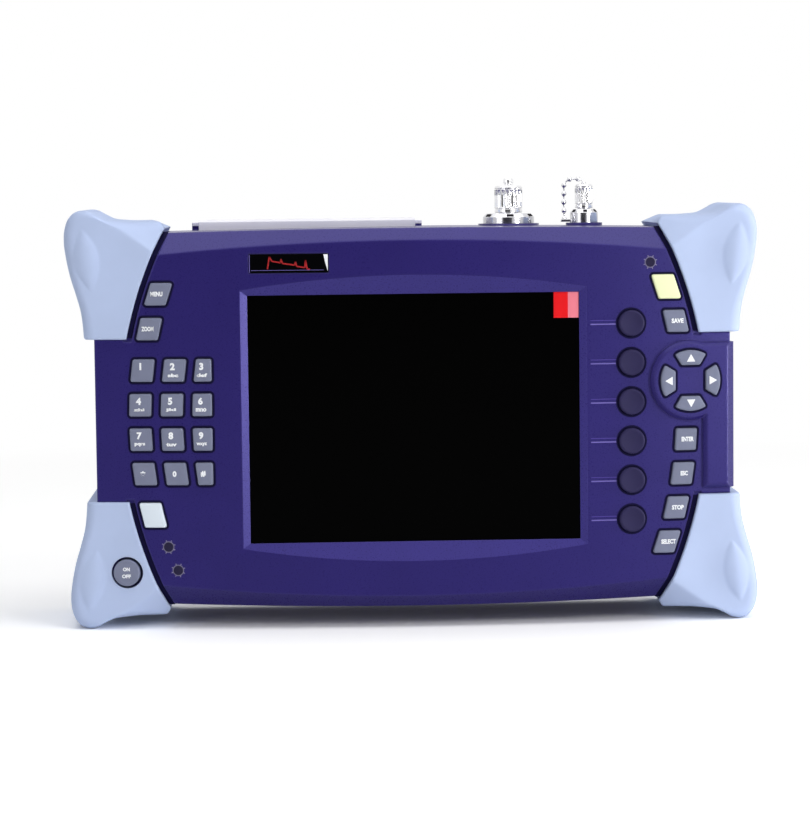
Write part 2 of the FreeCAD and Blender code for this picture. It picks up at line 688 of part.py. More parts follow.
def key_plan():
    """All keys: name, where its face is tangent, outline as a function of its growth, how proud."""
    plan = []
    proud = S["key_proud"]
    names = [["1", "2", "3"], ["4", "5", "6"], ["7", "8", "9"], ["star", "0", "hash"]]
    for row_index, row_names in enumerate(names):
        height = S["pad_middle"] + S["pad_pitch_z"] * (1.5 - row_index)
        first = S["key_margin"] - bumper_arc_x(height)
        for column, name in enumerate(row_names):
            x = first + column * S["pad_pitch_x"]
            edge = -S["pad_edge"] if column == 2 else None
            plan.append((f"key_{name}", -1, x, height, S["pad_key_width"], S["pad_key_height"], edge))
    function = (S["function_width"], S["function_height"])
    pale = (S["shift_width"], S["shift_height"])
    start = (S["start_width"], S["start_height"])
    for name, side, height, (width, tall) in (
            ("function_key_left_1", -1, 50.4, function), ("function_key_left_2", -1, 36.6, function),
            ("shift_key", -1, -37.7, pale), ("start_key", 1, 51.0, start),
            ("function_key_right_1", 1, 37.2, function), ("function_key_right_2", 1, -10.3, function),
            ("function_key_right_3", 1, -24.0, function), ("function_key_right_4", 1, -37.7, function),
            ("function_key_right_5", 1, -51.4, function)):
        x = side * (bumper_arc_x(height) - S["key_margin"])
        plan.append((name, side, x, height, width, tall, None))
    keys = []
    for name, side, x, height, width, tall, edge in plan:
        def outline(grow, box=(side, x, height, width, tall), edge=edge):
            return key_quad(*box, grow, edge)
        keys.append((name, x, outline, proud))
    for number in range(6):
        height = S["soft_middle"] + S["soft_pitch"] * (2.5 - number)

        def outline(grow, height=height):
            return round_outline(S["soft_x"], height, S["soft_radius"] + grow)
        keys.append((f"soft_key_{number + 1}", S["soft_x"], outline, S["soft_proud"]))
    for name, turn in (("up", 0), ("right", 90), ("down", 180), ("left", 270)):
        def outline(grow, turn=turn):
            return cursor_sector(turn, grow)
        keys.append((f"cursor_{name}", S["island_x"], outline, S["island_raise"] + proud))

    def outline(grow):
        return round_outline(S["power_x"], S["power_height"], S["power_radius"] + grow)
    keys.append(("power_button", S["power_x"], outline, S["bumper_proud"] + S["power_proud"]))
    return keys


def key_shape(x, outline, rim_outline, proud):
    """A key in its own frame: the cap through the well and the wider rim behind the wall."""
    box = rim_outline.BoundBox
    reach = max(0, box.XMax - x if x > 0 else x - box.XMin)
    lag = reach * math.tan(math.asin(abs(x) / S["crown_radius"]))
    depth = S["key_back_y"] - crown_y(x) - lag
    cap = prism(outline(0.0), 0, depth + proud)
    top_edges = [edge for edge in cap.Edges if edge.BoundBox.YMax < 0.01]
    cap = cap.makeChamfer(S["key_chamfer"], top_edges)
    rim = prism(rim_outline, proud + S["wall"] + S["key_rim_gap"], depth + proud)
    return cap.fuse(rim).removeSplitter()


def square_around(outline, grow):
    """Square rim around a round key."""
    box = outline(grow).BoundBox
    corners = [Vector(box.XMin, 0, box.ZMin), Vector(box.XMax, 0, box.ZMin),
               Vector(box.XMax, 0, box.ZMax), Vector(box.XMin, 0, box.ZMax)]
    return Part.makePolygon(corners + corners[:1])


KEYS = key_plan()


# ---------------------------------------------------------------- shells

def island():
    """Raised island of the cursor keys, running into the grip strip on the right side."""
    depth = S["strip_back_y"] - crown_y(S["island_x"]) + S["island_raise"]
    disc = rod(S["island_x"], S["island_height"], S["island_radius"], 0, depth)
    strip = block(S["strip_inner"], S["strip_outer"], 0, depth, S["strip_bottom"], S["strip_top"])
    shape = disc.fuse(strip).removeSplitter()
    side = [edge for edge in shape.Edges if edge.BoundBox.YMax < 0.01 and
            edge.BoundBox.XMin > S["strip_outer"] - 0.01]
    shape = shape.makeChamfer(S["strip_bevel"], side)
    rim = [edge for edge in shape.Edges if edge.BoundBox.YMax < 0.01 and
           edge.BoundBox.XMin < S["strip_outer"] - S["strip_bevel"] - 0.01]
    return on_face(shape.makeChamfer(S["island_round"], rim), S["island_x"], S["island_raise"])


def window_recess():
    """Four-sided funnel down to the glass, whose slopes break the crowned face in shallow arcs."""
    half_w, half_h = S["window_width"] / 2, S["window_height"] / 2
    floor = S["window_y"] - S["window_lip"]
    depth = floor - S["front_y"]
    side_depth = floor - crown_y(half_w + S["chamfer_side"])
    rise = 2.0
    grow_z = S["chamfer_top"] * (1 + rise / depth)
    grow_x = S["chamfer_side"] * (depth + rise) / side_depth
    wires = []
    for y, dx, dz in ((floor, 0, 0), (S["front_y"] - rise, grow_x, grow_z)):
        corners = [Vector(sx * (half_w + dx), y, MID + sz * (half_h + dz))
                   for sx, sz in ((-1, -1), (1, -1), (1, 1), (-1, 1))]
        wires.append(Part.makePolygon(corners + corners[:1]))
    return Part.makeLoft(wires, True, True)


def grooves():
    """Dark grooves beside the bumpers' inner arcs."""
    radius = S["bumper_arc_radius"]
    centre = S["bumper_arc_reach"] - radius
    y0, y1 = S["front_y"] - OVER, S["front_y"] + 3 * OVER
    ring = rod(centre, 0, radius + 1, y0, y1).cut(rod(centre, 0, radius - S["groove_width"], y0, y1))
    band = block(0, S["body_half_width"], y0, y1, S["bumper_end"] - 1, S["body_half_height"] + OVER)
    uncut = crown(-S["groove_depth"]).common(bevels(-S["groove_depth"]))
    return list(four_corners(ring.common(band).cut(uncut)).values())


LIGHTS = ((94.6, 60.8), (-98.7, -50.5), (-95.0, -59.9))
CORNERS = ((-1, -1), (1, -1), (1, 1), (-1, 1))
POST_HEIGHT = S["body_half_height"] - S["post_edge"]


def posts(y0, y1, radius):
    """Screw posts or their holes between two depths."""
    return [rod(sx * S["post_x"], sz * POST_HEIGHT, radius, y0, y1) for sx, sz in CORNERS]


def screen_openings():
    """Tools for the window, the glass behind its lip and the display module."""
    split, glass_y = S["split_y"], S["window_y"]
    half_w, half_h = S["window_width"] / 2, S["window_height"] / 2
    rim = S["window_rim"] + S["fit"]
    lcd_w, lcd_h = S["lcd_width"] / 2 + S["lcd_play"], S["lcd_height"] / 2 + S["lcd_play"]
    lcd_y = glass_y + S["window_thickness"] - S["fit"]
    return [window_recess(),
            block(-half_w, half_w, S["front_y"], split, -half_h, half_h),
            block(-half_w - rim, half_w + rim, glass_y, split, -half_h - rim, half_h + rim),
            block(-lcd_w, lcd_w, lcd_y, split, -lcd_h, lcd_h)]


def plate_recess():
    """Tool for the name plate's shallow recess."""
    fit = S["fit"]
    left, low = S["plate_left"], S["plate_bottom"]
    recess = block(left - fit, left + S["plate_width"] + fit, S["front_y"] - OVER, S["front_y"] + OVER,
                   low - fit, low + S["plate_height"] + fit)
    return recess.cut(crown(-S["plate_seat"]))


def make_front_housing(bumpers):
    """Crowned front shell with the window, the key wells and the cursor island."""
    front, split = S["front_y"], S["split_y"]
    before = front - OVER
    hollow = cavity(before, split + 1)
    body = casing_blank(before, split).common(crown(0)).common(bevels(0))
    raised = island().common(block(0, 2 * S["island_x"], before, split, -MID, MID))
    bosses = [post.common(crown(-1)).common(bevels(-2)) for post in posts(front, split, S["post_radius"])]
    shell = body.cut(hollow).fuse([raised.cut(hollow)] + bosses)
    wells = [on_face(prism(outline(S["key_clearance"]), -OVER, 2 * OVER), x, 0) for _, x, outline, _ in KEYS]
    lights = [on_face(rod(x, height, S["light_radius"] + S["fit"], -OVER, 2 * OVER), x, 0)
              for x, height in LIGHTS]
    threads = posts(split - S["screw_grip"], split + 1, S["screw_radius"] + S["fit"])
    tools = screen_openings() + wells + grooves() + lights + [plate_recess()] + threads
    return feature("front_housing", shell.cut(tools).cut(bumpers))


def lens_outline(width, length):
    """Almond of two arcs, at the place of the pad on the upper right lobe."""
    x, z = S["pad_x"], MID + S["pad_height"]
    ends = [Vector(x, 0, z - length / 2), Vector(x, 0, z + length / 2)]
    right = Part.Arc(ends[0], Vector(x + width / 2, 0, z), ends[1])
    left = Part.Arc(ends[1], Vector(x - width / 2, 0, z), ends[0])
    return Part.Wire([right.toShape(), left.toShape()])


def facet_tool(blank_front):
    """Everything in front of the slanted facet along the bumper's flat outer edge."""
    x, top = S["facet_x"], MID + S["bumper_top"]
    low = Vector(x, blank_front(x), top - S["facet_height"])
    far = Vector(x + S["facet_length"], blank_front(x + S["facet_length"]), top)
    corner = Vector(x, blank_front(x) + S["facet_depth"], top)
    across = (far - low).cross(corner - low).normalize()
    if across.y > 0:
        across = -across
    size = S["bumper_arc_reach"]
    tool = Part.makeBox(size, size, size, Vector(-size / 2, -size / 2, 0))
    tool.Placement = Placement(corner, Rotation(Vector(0, 0, 1), across))
    return tool


def almond_pad():
    """Raised pad of a lobe: an almond with sloping edges."""
    rise = S["pad_rise"]
    pad = prism(lens_outline(S["pad_width"], S["pad_length"]), 0, rise + 0.5)
    top_edges = [edge for edge in pad.Edges if edge.BoundBox.YMax < 0.01]
    pad = pad.makeChamfer(0.8 * rise, top_edges)
    return on_face(pad, S["pad_x"], S["bumper_proud"] + rise)


def bumper_parts():
    """The four bumpers and the room that each takes out of the casing."""
    taken = bumper_blank(S["fit"]).cut(core(0))
    bumper = bumper_blank().cut([core(S["fit"]), facet_tool(bumper_face)])
    bumper = bumper.fuse(almond_pad()).removeSplitter()
    return four_corners(bumper), list(four_corners(taken).values())


BUMPERS, TAKEN = bumper_parts()
make_front_housing(TAKEN)
power_hole = rod(S["power_x"], S["power_height"], S["power_ring"], S["front_y"] - 10, S["split_y"] - 5)
for place, shape in BUMPERS.items():
    if place == "bottom_left":
        shape = shape.cut(power_hole)
    feature(f"bumper_{place}", shape)
for key_name, key_x, key_outline, key_top in KEYS:
    if key_name.startswith("soft"):
        key_rim = square_around(key_outline, S["key_rim"])
    else:
        key_rim = key_outline(0.0 if key_name == "power_button" else S["key_rim"])
    feature(key_name, key_shape(key_x, key_outline, key_rim, key_top), face_frame(key_x, key_top))


PORTS = (("wide_x", "wide_seat_radius"), ("narrow_x", "narrow_seat_radius"))
# sockets of the connector bay: name, middle, length and width
SOCKETS = (("serial", -66.5, 20.0, 9.0), ("network", -42.5, 16.0, 13.0), ("usb_1", -23.0, 13.4, 6.0),
           ("usb_2", -7.0, 13.4, 6.0))
FLAP_Z = S["body_half_height"] - S["flap_sink"]
PANEL_Z = FLAP_Z - S["flap_gap"]
STAND_PIN_Y = S["stand_y"] + S["stand_thickness"] / 2


def along_x(x0, x1, y, height, radius):
    """Cylinder along X."""
    return Part.makeCylinder(radius, x1 - x0, Vector(x0, y, MID + height), Vector(1, 0, 0))


def rear_additions():
    """What is added inside the rear shell: tub, stand bed, connector bay, posts, spacers, port seats."""
    back = S["back_y"]
    inside = back - 1
    ledge, wall = S["cover_ledge"], S["bay_wall"]
    tub = S["bay_half_width"] + ledge + wall
    bed = S["stand_half_width"] + S["stand_gap"] + 2 * S["bay_side"]
    extra = [block(-tub, tub, S["bay_floor_y"] - wall, inside, S["bay_bottom"] - ledge - wall,
                   S["bay_top"] + ledge + wall),
             block(-bed, bed, S["stand_y"] - S["bay_side"], inside,
                   S["stand_bottom"] - S["notch_height"] - wall,
                   S["stand_pivot"] + S["stand_thickness"] + wall),
             block(S["flap_left"] - S["bay_side"], S["flap_right"] + S["bay_side"],
                   S["flap_front_y"] - S["bay_side"], inside, FLAP_Z - S["bay_depth"], FLAP_Z)]
    extra += posts(S["split_y"], inside, S["post_radius"])
    extra += [rod(sx * S["spacer_x"], sz * S["spacer_height"], S["spacer_radius"],
                  S["main_y"] + S["board_thickness"], inside) for sx, sz in CORNERS]
    for port_x, seat_radius in PORTS:
        foot = Vector(S[port_x], S["port_y"], MID + S["seat_height"] - S["seat_thickness"])
        extra.append(Part.makeCylinder(S[seat_radius], S["seat_thickness"], foot))
    return extra


def back_recesses():
    """Tools for the battery bay, its cover, the stand with its pivot and the finger notch."""
    back = S["back_y"]
    past = back + OVER
    bay, ledge, gap = S["bay_half_width"], S["cover_ledge"], S["stand_gap"]
    pivot_x = S["stand_half_width"] + gap
    reach = S["stand_half_width"] + S["stand_pin_length"] / 2 + gap
    return [block(-bay, bay, S["bay_floor_y"], past, S["bay_bottom"], S["bay_top"]),
            block(-bay - ledge, bay + ledge, back - S["cover_thickness"], past,
                  S["bay_bottom"] - ledge, S["bay_top"] + ledge),
            block(-pivot_x, pivot_x, S["stand_y"] - gap, past, S["stand_bottom"] - gap,
                  S["stand_pivot"] + S["stand_thickness"] / 2 + gap),
            block(-S["notch_half_width"], S["notch_half_width"], S["stand_y"] - S["notch_depth"], past,
                  S["stand_bottom"] - S["notch_height"], S["stand_bottom"]),
            along_x(-reach, reach, STAND_PIN_Y, S["stand_pivot"], S["stand_pin_radius"] + S["pin_play"])]


def panel_block(inset, low, high):
    """Block with the outline of the connector panel, drawn in by inset."""
    return block(S["flap_left"] + inset, S["flap_right"] - inset, S["flap_front_y"] + inset,
                 S["flap_pivot_y"] - S["flap_barrel"] - inset, low, high)


def top_recesses():
    """Tools for the connector bay, the seat of its panel and the bodies of the ports."""
    gap, fit = S["flap_gap"], S["fit"]
    tools = [block(S["flap_left"] - gap, S["flap_right"] + gap, S["flap_front_y"] - gap,
                   S["flap_pivot_y"] + S["flap_barrel"] + gap, FLAP_Z - gap, S["body_half_height"] + OVER)]
    tools.append(panel_block(0, PANEL_Z - S["panel_thickness"], PANEL_Z + OVER))
    tools.append(panel_block(S["panel_ledge"], PANEL_Z - S["bay_depth"] - OVER, PANEL_Z))
    for port_x, _ in PORTS:
        foot = Vector(S[port_x], S["port_y"], MID + S["seat_height"] - S["port_tail"] - 1)
        tools.append(Part.makeCylinder(S["port_tail_radius"] + fit, S["port_tail"] + OVER, foot))
    return tools


def flap_lugs():
    """Two lugs that carry the flap's hinge pins."""
    lugs = []
    for end in (S["flap_left"] - S["flap_gap"] - S["flap_lug"], S["flap_right"] + S["flap_gap"]):
        lugs.append(block(end, end + S["flap_lug"], S["flap_pivot_y"] - S["lug_half_depth"],
                          S["flap_pivot_y"] + S["lug_half_depth"], FLAP_Z - 1,
                          S["body_half_height"] + S["lug_rise"]))
    return lugs


def make_rear_housing(bumpers):
    """Rear shell with the battery bay, the stand recess, the port seats and the connector bay."""
    split, back = S["split_y"], S["back_y"]
    body = casing_blank(split, back)
    rim = [edge for edge in body.Edges if edge.BoundBox.YMin > back - 0.01]
    body = body.makeChamfer(S["back_round"] / 2, rim)
    shell = body.cut(cavity(split - 1, back - S["back_wall"])).fuse(rear_additions())
    tools = back_recesses() + top_recesses()
    tools += posts(split - 1, back + 1, S["screw_radius"] + S["fit"])
    tools += posts(back - S["screw_sink"], back + 1, S["screw_head_radius"] + S["fit"])
    shell = shell.cut(tools).fuse(flap_lugs())
    reach = S["flap_pin_reach"] + S["pin_play"]
    hinge = along_x(S["flap_left"] - reach - S["fit"], S["flap_right"] + reach + S["fit"], S["flap_pivot_y"],
                    S["body_half_height"], S["flap_pin_radius"] + S["pin_play"])
    return feature("rear_housing", shell.cut(hinge).cut(bumpers))


make_rear_housing(TAKEN)


# ---------------------------------------------------------------- screen and face trim

def make_screen_window():
    """Flat glass behind the lip of the window."""
    body = new_body("screen_window")
    rim = "window_rim"
    pad_forward(body, "glass", "window_y + window_thickness", "window_thickness", lambda sketch:
                add_rectangle(sketch, f"0 - window_width / 2 - {rim}", f"window_width / 2 + {rim}",
                              f"mid_z - window_height / 2 - {rim}", f"mid_z + window_height / 2 + {rim}"))
    return register(body, "screen_window")


def make_lcd_module():
    """Display module with four feet that stand on the key board."""
    body = new_body("lcd_module")
    back = "window_y + window_thickness + lcd_thickness"
    pad_forward(body, "case", back, "lcd_thickness", lambda sketch:
                add_rectangle(sketch, "0 - lcd_width / 2", "lcd_width / 2",
                              "mid_z - lcd_height / 2", "mid_z + lcd_height / 2"))

    def feet(sketch):
        for sx, sz in CORNERS:
            add_circle(sketch, f"{sx} * ( lcd_width / 2 - foot_inset )",
                       f"mid_z + {sz} * ( lcd_height / 2 - foot_inset )", "spacer_radius")
    pad_forward(body, "feet", "board_y", f"board_y - ( {back} )", feet)
    return register(body, "lcd_module")


def make_film_tab():
    """Coloured pull tab of the screen's protective film."""
    box = doc.addObject("Part::Box", "film_tab")
    for prop, expression in (("Length", "tab_width"), ("Width", "tab_thickness"), ("Height", "tab_height"),
                             ("Placement.Base.x", "tab_left"),
                             ("Placement.Base.y", "window_y - tab_thickness"),
                             ("Placement.Base.z", "mid_z + tab_bottom")):
        box.setExpression(prop, bound(expression))
    return register(box, "film_tab")


def make_name_plate():
    """Gloss plate in a shallow recess, following the crowned face."""
    plate = block(S["plate_left"], S["plate_left"] + S["plate_width"], S["front_y"] - OVER,
                  S["front_y"] + OVER, S["plate_bottom"], S["plate_bottom"] + S["plate_height"])
    plate = plate.common(crown(S["plate_proud"])).cut(crown(-S["plate_seat"] + S["fit"]))
    return feature("name_plate", plate)


def make_status_lights():
    """Light pipes from the face to the key board."""
    pipes = []
    for x, height in LIGHTS:
        length = S["mat_front_y"] - crown_y(x)
        pipes.append(on_face(rod(x, height, S["light_radius"], -S["light_proud"], length), x, 0))
    return feature("status_lights", Part.makeCompound(pipes))


# ---------------------------------------------------------------- boards

def post_notches(sketch):
    """Holes that let the screw posts through a board."""
    for sx, sz in CORNERS:
        add_circle(sketch, f"{sx} * post_x", f"mid_z + {sz} * ( body_half_height - post_edge )",
                   "post_radius + post_play")


def make_key_board():
    """Circuit board behind the keys."""
    body = new_body("key_board")
    pad_forward(body, "board", "board_y + board_thickness", "board_thickness", lambda sketch:
                add_rectangle(sketch, "0 - cavity_half_width + board_side_gap",
                              "cavity_half_width - board_side_gap",
                              "mid_z - cavity_half_height + board_end_gap",
                              "mid_z + cavity_half_height - board_end_gap"))
    round_edges(body, "corners", "cavity_corner", along_y)
    pocket_forward(body, "notches", "board_y + board_thickness", "board_thickness", post_notches)
    return register(body, "key_board")


def make_key_mat():
    """Two silicone mats with a contact pad under every key."""
    back, front = S["board_y"], S["mat_front_y"]
    mat_outer = S["cavity_half_width"] - S["board_side_gap"] - 1
    sheets = []
    for side in (1, -1):
        low, high = sorted((side * S["mat_inner"], side * mat_outer))
        sheet_body = block(low, high, front, back, -S["mat_half_height"], S["mat_half_height"])
        domes = []
        for name, x, outline, proud in KEYS:
            if x * side > 0:
                centre = on_face(prism(outline(0.0), 0, 1), x, proud).BoundBox.Center
                travel = S["mat_front_y"] - crown_y(x)
                shift = -math.sin(math.asin(x / S["crown_radius"])) * travel
                half = S["dome_half"]
                domes.append(Part.makeBox(2 * half, S["dome_height"] + 0.2, 2 * half, Vector(
                    centre.x + shift - half, front - S["dome_height"], centre.z - half)))
        holes = [rod(x, height, S["light_radius"] + 1.0, front - 1, back + 1)
                 for x, height in LIGHTS if x * side > 0]
        holes += posts(front - 1, back + 1, S["post_radius"] + S["post_play"])
        sheets.append(sheet_body.fuse(domes).cut(holes))
    return feature("key_mat", Part.makeCompound(sheets))


# shield cans on the main board: left, right, and the lower and upper edge below the middle
SHIELD_CANS = ((-90, -50, 50, 20), (-35, -5, 45, 18), (20, 80, 48, 22))


def make_main_board():
    """Main board with its shield cans, on spacers behind the key board."""
    body = new_body("main_board")
    back = "main_y + board_thickness"
    pad_forward(body, "board", back, "board_thickness", lambda sketch:
                add_rectangle(sketch, "0 - main_half_width", "main_half_width",
                              "mid_z - main_half_height", "mid_z + main_half_height"))

    def spacers(sketch):
        for sx, sz in CORNERS:
            add_circle(sketch, f"{sx} * spacer_x", f"mid_z + {sz} * spacer_height", "spacer_radius")
    pad_forward(body, "spacers", "main_y", "main_y - board_y - board_thickness", spacers)

    def cans(sketch):
        for left, right, low, high in SHIELD_CANS:
            add_rectangle(sketch, f"{left}", f"{right}", f"mid_z - {low}", f"mid_z - {high}")
    pad_forward(body, "shield_cans", "main_y + board_thickness / 2", "can_height + board_thickness / 2", cans)
    return register(body, "main_board")


def make_optics_module():
    """Metal box with the laser, coupler and detector, on the main board under the ports."""
    body = new_body("optics_module")
    low = "mid_z + optics_bottom"
    pad_forward(body, "box", "main_y + board_thickness + optics_thickness", "optics_thickness", lambda sketch:
                add_rectangle(sketch, "optics_left", "optics_left + optics_width", low,
                              f"{low} + optics_height"))
    round_edges(body, "corners", "wall", along_y)
    return register(body, "optics_module")


def make_fibre_spool():
    """Spool of launch fibre, lying on the main board."""
    body = new_body("fibre_spool")
    turned(body, "spool", [("spool_bore", "0"), ("spool_radius", "0"), ("spool_radius", "spool_thickness"),
                           ("spool_bore", "spool_thickness")])
    foot = Vector(-S["spool_x"], S["main_y"] + S["board_thickness"], MID + S["spool_height"])
    body.Placement = Placement(foot, Rotation(Vector(1, 0, 0), -90))
    return register(body, "fibre_spool")


def make_battery_pack():
    """Rechargeable pack in its bay."""
    body = new_body("battery_pack")
    back = "back_y - cover_thickness - battery_play"
    pad_forward(body, "pack", back, f"{back} - bay_floor_y", lambda sketch:
                add_rectangle(sketch, "0 - bay_half_width + battery_play", "bay_half_width - battery_play",
                              "mid_z + bay_bottom + battery_play", "mid_z + bay_top - battery_play"))
    round_edges(body, "corners", "wall", along_y)
    return register(body, "battery_pack")


def make_battery_cover():
    """Flush cover with a row of finger ribs."""
    body = new_body("battery_cover")
    pad_forward(body, "plate", "back_y", "cover_thickness", lambda sketch:
                add_rectangle(sketch, "0 - bay_half_width - cover_ledge + fit",
                              "bay_half_width + cover_ledge - fit",
                              "mid_z + bay_bottom - cover_ledge + fit",
                              "mid_z + bay_top + cover_ledge - fit"))

    def grip(sketch):
        for i in range(5):
            high = f"mid_z + bay_top - {2 * (i + 2)} * grip_groove - {i} * grip_groove"
            add_rectangle(sketch, "0 - grip_half_width", "grip_half_width", f"{high} - grip_groove", high)
    pocket_forward(body, "grip", "back_y", "grip_depth", grip)
    return register(body, "battery_cover")


# ---------------------------------------------------------------- stand, screws

def make_tilt_stand():
    """Fold-out leg in the back, with a window that saves weight."""
    half = "stand_half_width"
    body = new_body("stand_leg")
    back = "stand_y + stand_thickness"
    pad_forward(body, "leg", back, "stand_thickness", lambda sketch:
                add_rectangle(sketch, f"0 - {half}", half, "mid_z + stand_bottom", "mid_z + stand_pivot"))
    pocket_forward(body, "opening", back, "stand_thickness", lambda sketch:
                   add_rectangle(sketch, f"0 - {half} + stand_frame", f"{half} - stand_frame",
                                 "mid_z + stand_bottom + stand_frame", "mid_z + stand_pivot - stand_frame"))
    doc.recompute()
    half_width = S["stand_half_width"]
    barrel = along_x(-half_width, half_width, STAND_PIN_Y, S["stand_pivot"], S["stand_thickness"] / 2)
    bore = along_x(-half_width - 1, half_width + 1, STAND_PIN_Y, S["stand_pivot"],
                   S["stand_pin_radius"] + S["pin_play"])
    return feature("tilt_stand", body.Shape.fuse(barrel).cut(bore))


def make_stand_pins():
    """Two steel pins that carry the stand."""
    half = S["stand_pin_length"] / 2
    pins = [along_x(middle - half, middle + half, STAND_PIN_Y, S["stand_pivot"], S["stand_pin_radius"])
            for middle in (S["stand_half_width"], -S["stand_half_width"])]
    return feature("stand_pins", Part.makeCompound(pins))


def make_housing_screws():
    """Four socket-head screws from the back into the front posts."""
    seat = S["back_y"] - S["screw_sink"]
    screws = []
    for sx, sz in CORNERS:
        x, height = sx * S["post_x"], sz * POST_HEIGHT
        shank = rod(x, height, S["screw_radius"], seat - S["screw_length"], seat)
        head = rod(x, height, S["screw_head_radius"], seat, seat + S["screw_head"])
        hexagon = [Vector(x, 0, MID + height) + heading(60 * i) * S["screw_socket"] for i in range(7)]
        socket = prism(Part.makePolygon(hexagon), seat + S["socket_floor"], seat + S["screw_head"] + 1)
        screws.append(shank.fuse(head).cut(socket))
    return feature("housing_screws", Part.makeCompound(screws))


# ---------------------------------------------------------------- ports on top

def make_port(label, port_x, flange_radius, flange_height, barrel_radius, lug):
    """Fibre port: chamfered flange, threaded barrel and the body that passes the wall."""
    body = new_body(label)
    flange, bevel, rim = flange_height, "flange_bevel", f"{flange_height} + barrel_height"
    inside = f"{barrel_radius} - barrel_wall"
    outline = [("0", "0 - port_tail"), ("port_tail_radius", "0 - port_tail"), ("port_tail_radius", "0"),
               (flange_radius, "0"), (flange_radius, f"{flange} - {bevel}"),
               (f"{flange_radius} - {bevel}", flange), (barrel_radius, flange), (barrel_radius, rim),
               (inside, rim), (inside, f"{flange} + ferrule_inset"),
               ("ferrule_radius", f"{flange} + ferrule_inset"),
               ("ferrule_radius", f"{rim} - ferrule_inset"), ("0", f"{rim} - ferrule_inset")]
    turned(body, "port", outline)
    if lug:
        pad_up(body, "lug", "lug_bottom", "lug_thickness", lambda sketch:
               add_rectangle(sketch, f"0 - {flange_radius} - lug_reach", f"1 - {flange_radius}",
                             "0 - lug_half_width", "lug_half_width"))
    body.Placement = Placement(Vector(S[port_x], S["port_y"], MID + S["seat_height"]), Rotation())
    return register(body, label)


def make_cap(label, port_x, radius, height, flange_height, barrel_radius, knob):
    """Screw cap over a port's barrel; the wide one carries a knob."""
    body = new_body(label)
    low = f"{flange_height} + cap_gap"
    inner = f"{barrel_radius} + cap_gap"
    roof = f"{flange_height} + barrel_height + cap_gap"
    top = f"{flange_height} + {height}"
    outline = [("0", roof), (inner, roof), (inner, low), (radius, low), (radius, f"{top} - cap_bevel"),
               (f"{radius} - cap_bevel", top)]
    if knob:
        outline += [("knob_radius", top), ("knob_radius", f"{top} + knob_height - cap_bevel"),
                    ("knob_radius - cap_bevel", f"{top} + knob_height"), ("0", f"{top} + knob_height")]
    else:
        outline += [("0", top)]
    turned(body, "cap", outline)
    body.Placement = Placement(Vector(S[port_x], S["port_y"], MID + S["seat_height"]), Rotation())
    return register(body, label)


def arc_through(before, corner, after, radius):
    """Arc of a radius that rounds the corner of a path, with its two ends."""
    first = (before - corner).normalize()
    second = (after - corner).normalize()
    half = first.getAngle(second) / 2
    reach = radius / math.tan(half)
    start, end = corner + first * reach, corner + second * reach
    centre = corner + (first + second).normalize() * (radius / math.sin(half))
    middle = centre + (corner - centre).normalize() * radius
    return start, middle, end


def make_cap_chain():
    """Bead chain as a plain tube, from the narrow cap's top down to the lug on its port."""
    x, y = S["narrow_x"], S["port_y"]
    top = MID + S["seat_height"] + S["narrow_flange_height"] + S["narrow_cap_height"]
    foot = MID + S["seat_height"] + S["lug_bottom"] + S["lug_thickness"]
    reach = S["narrow_flange_radius"] + S["chain_drop"]
    points = [Vector(x, y, top + S["cap_gap"]), Vector(x - 0.6, y, top + 2.8), Vector(x - 5.4, y, top + 2.2),
              Vector(x - reach, y, top - 3.5), Vector(x - reach, y, foot)]
    edges, here = [], points[0]
    for before, corner, after in zip(points, points[1:], points[2:]):
        run = min((corner - before).Length, (after - corner).Length)
        turn = (corner - before).getAngle(after - corner)
        radius = 0.45 * run / math.tan(turn / 2)
        start, middle, end = arc_through(before, corner, after, radius)
        edges += [Part.LineSegment(here, start), Part.Arc(start, middle, end)]
        here = end
    edges.append(Part.LineSegment(here, points[-1]))
    path = Part.Wire([edge.toShape() for edge in edges])
    turn = Rotation(Vector(0, 1, 0), points[1] - points[0])
    octagon = [points[0] + turn.multVec(heading(45 * i) * S["chain_radius"]) for i in range(9)]
    return feature("cap_chain", path.makePipeShell([Part.makePolygon(octagon)], True, True))


# ---------------------------------------------------------------- connector bay

def make_port_cover():
    """Flap over the connector bay, with a hinge barrel along its rear edge."""
    left, right, pivot = S["flap_left"], S["flap_right"], S["flap_pivot_y"]
    level, reach = S["body_half_height"], S["flap_pin_reach"]
    top = level + S["flap_rise"]
    plate = block(left, right, S["flap_front_y"], pivot, FLAP_Z, top)
    rim = [edge for edge in plate.Edges if edge.BoundBox.ZMin > MID + top - 0.01]
    plate = plate.makeChamfer(S["flap_chamfer"], [edge for edge in rim if edge.BoundBox.YMax < pivot - 0.01])
    barrel = along_x(left, right, pivot, level, S["flap_barrel"])
    pins = along_x(left - reach, right + reach, pivot, level, S["flap_pin_radius"])
    return feature("port_cover", plate.fuse([barrel, pins]).removeSplitter())


def make_connector_panel():
    """Metal panel in the floor of the connector bay, with the shells of its sockets."""
    panel = panel_block(S["fit"], PANEL_Z - S["panel_thickness"], PANEL_Z)
    wall, low = S["socket_wall"], PANEL_Z - S["socket_depth"]
    hollows, tongues = [], []
    for name, x, length, width in SOCKETS:
        left, right = x - length / 2, x + length / 2
        front, back = S["socket_y"] - width / 2, S["socket_y"] + width / 2
        panel = panel.fuse(block(left, right, front, back, low, PANEL_Z))
        hollows.append(block(left + wall, right - wall, front + wall, back - wall,
                             low + 2 * wall, PANEL_Z + 1))
        if name.startswith("usb"):
            half = S["tongue_half_width"]
            tongues.append(block(x - half, x + half, S["socket_y"] - S["tongue_thickness"], S["socket_y"],
                                 low + wall, PANEL_Z - wall))
    return feature("connector_panel", panel.cut(hollows).fuse(tongues).removeSplitter())


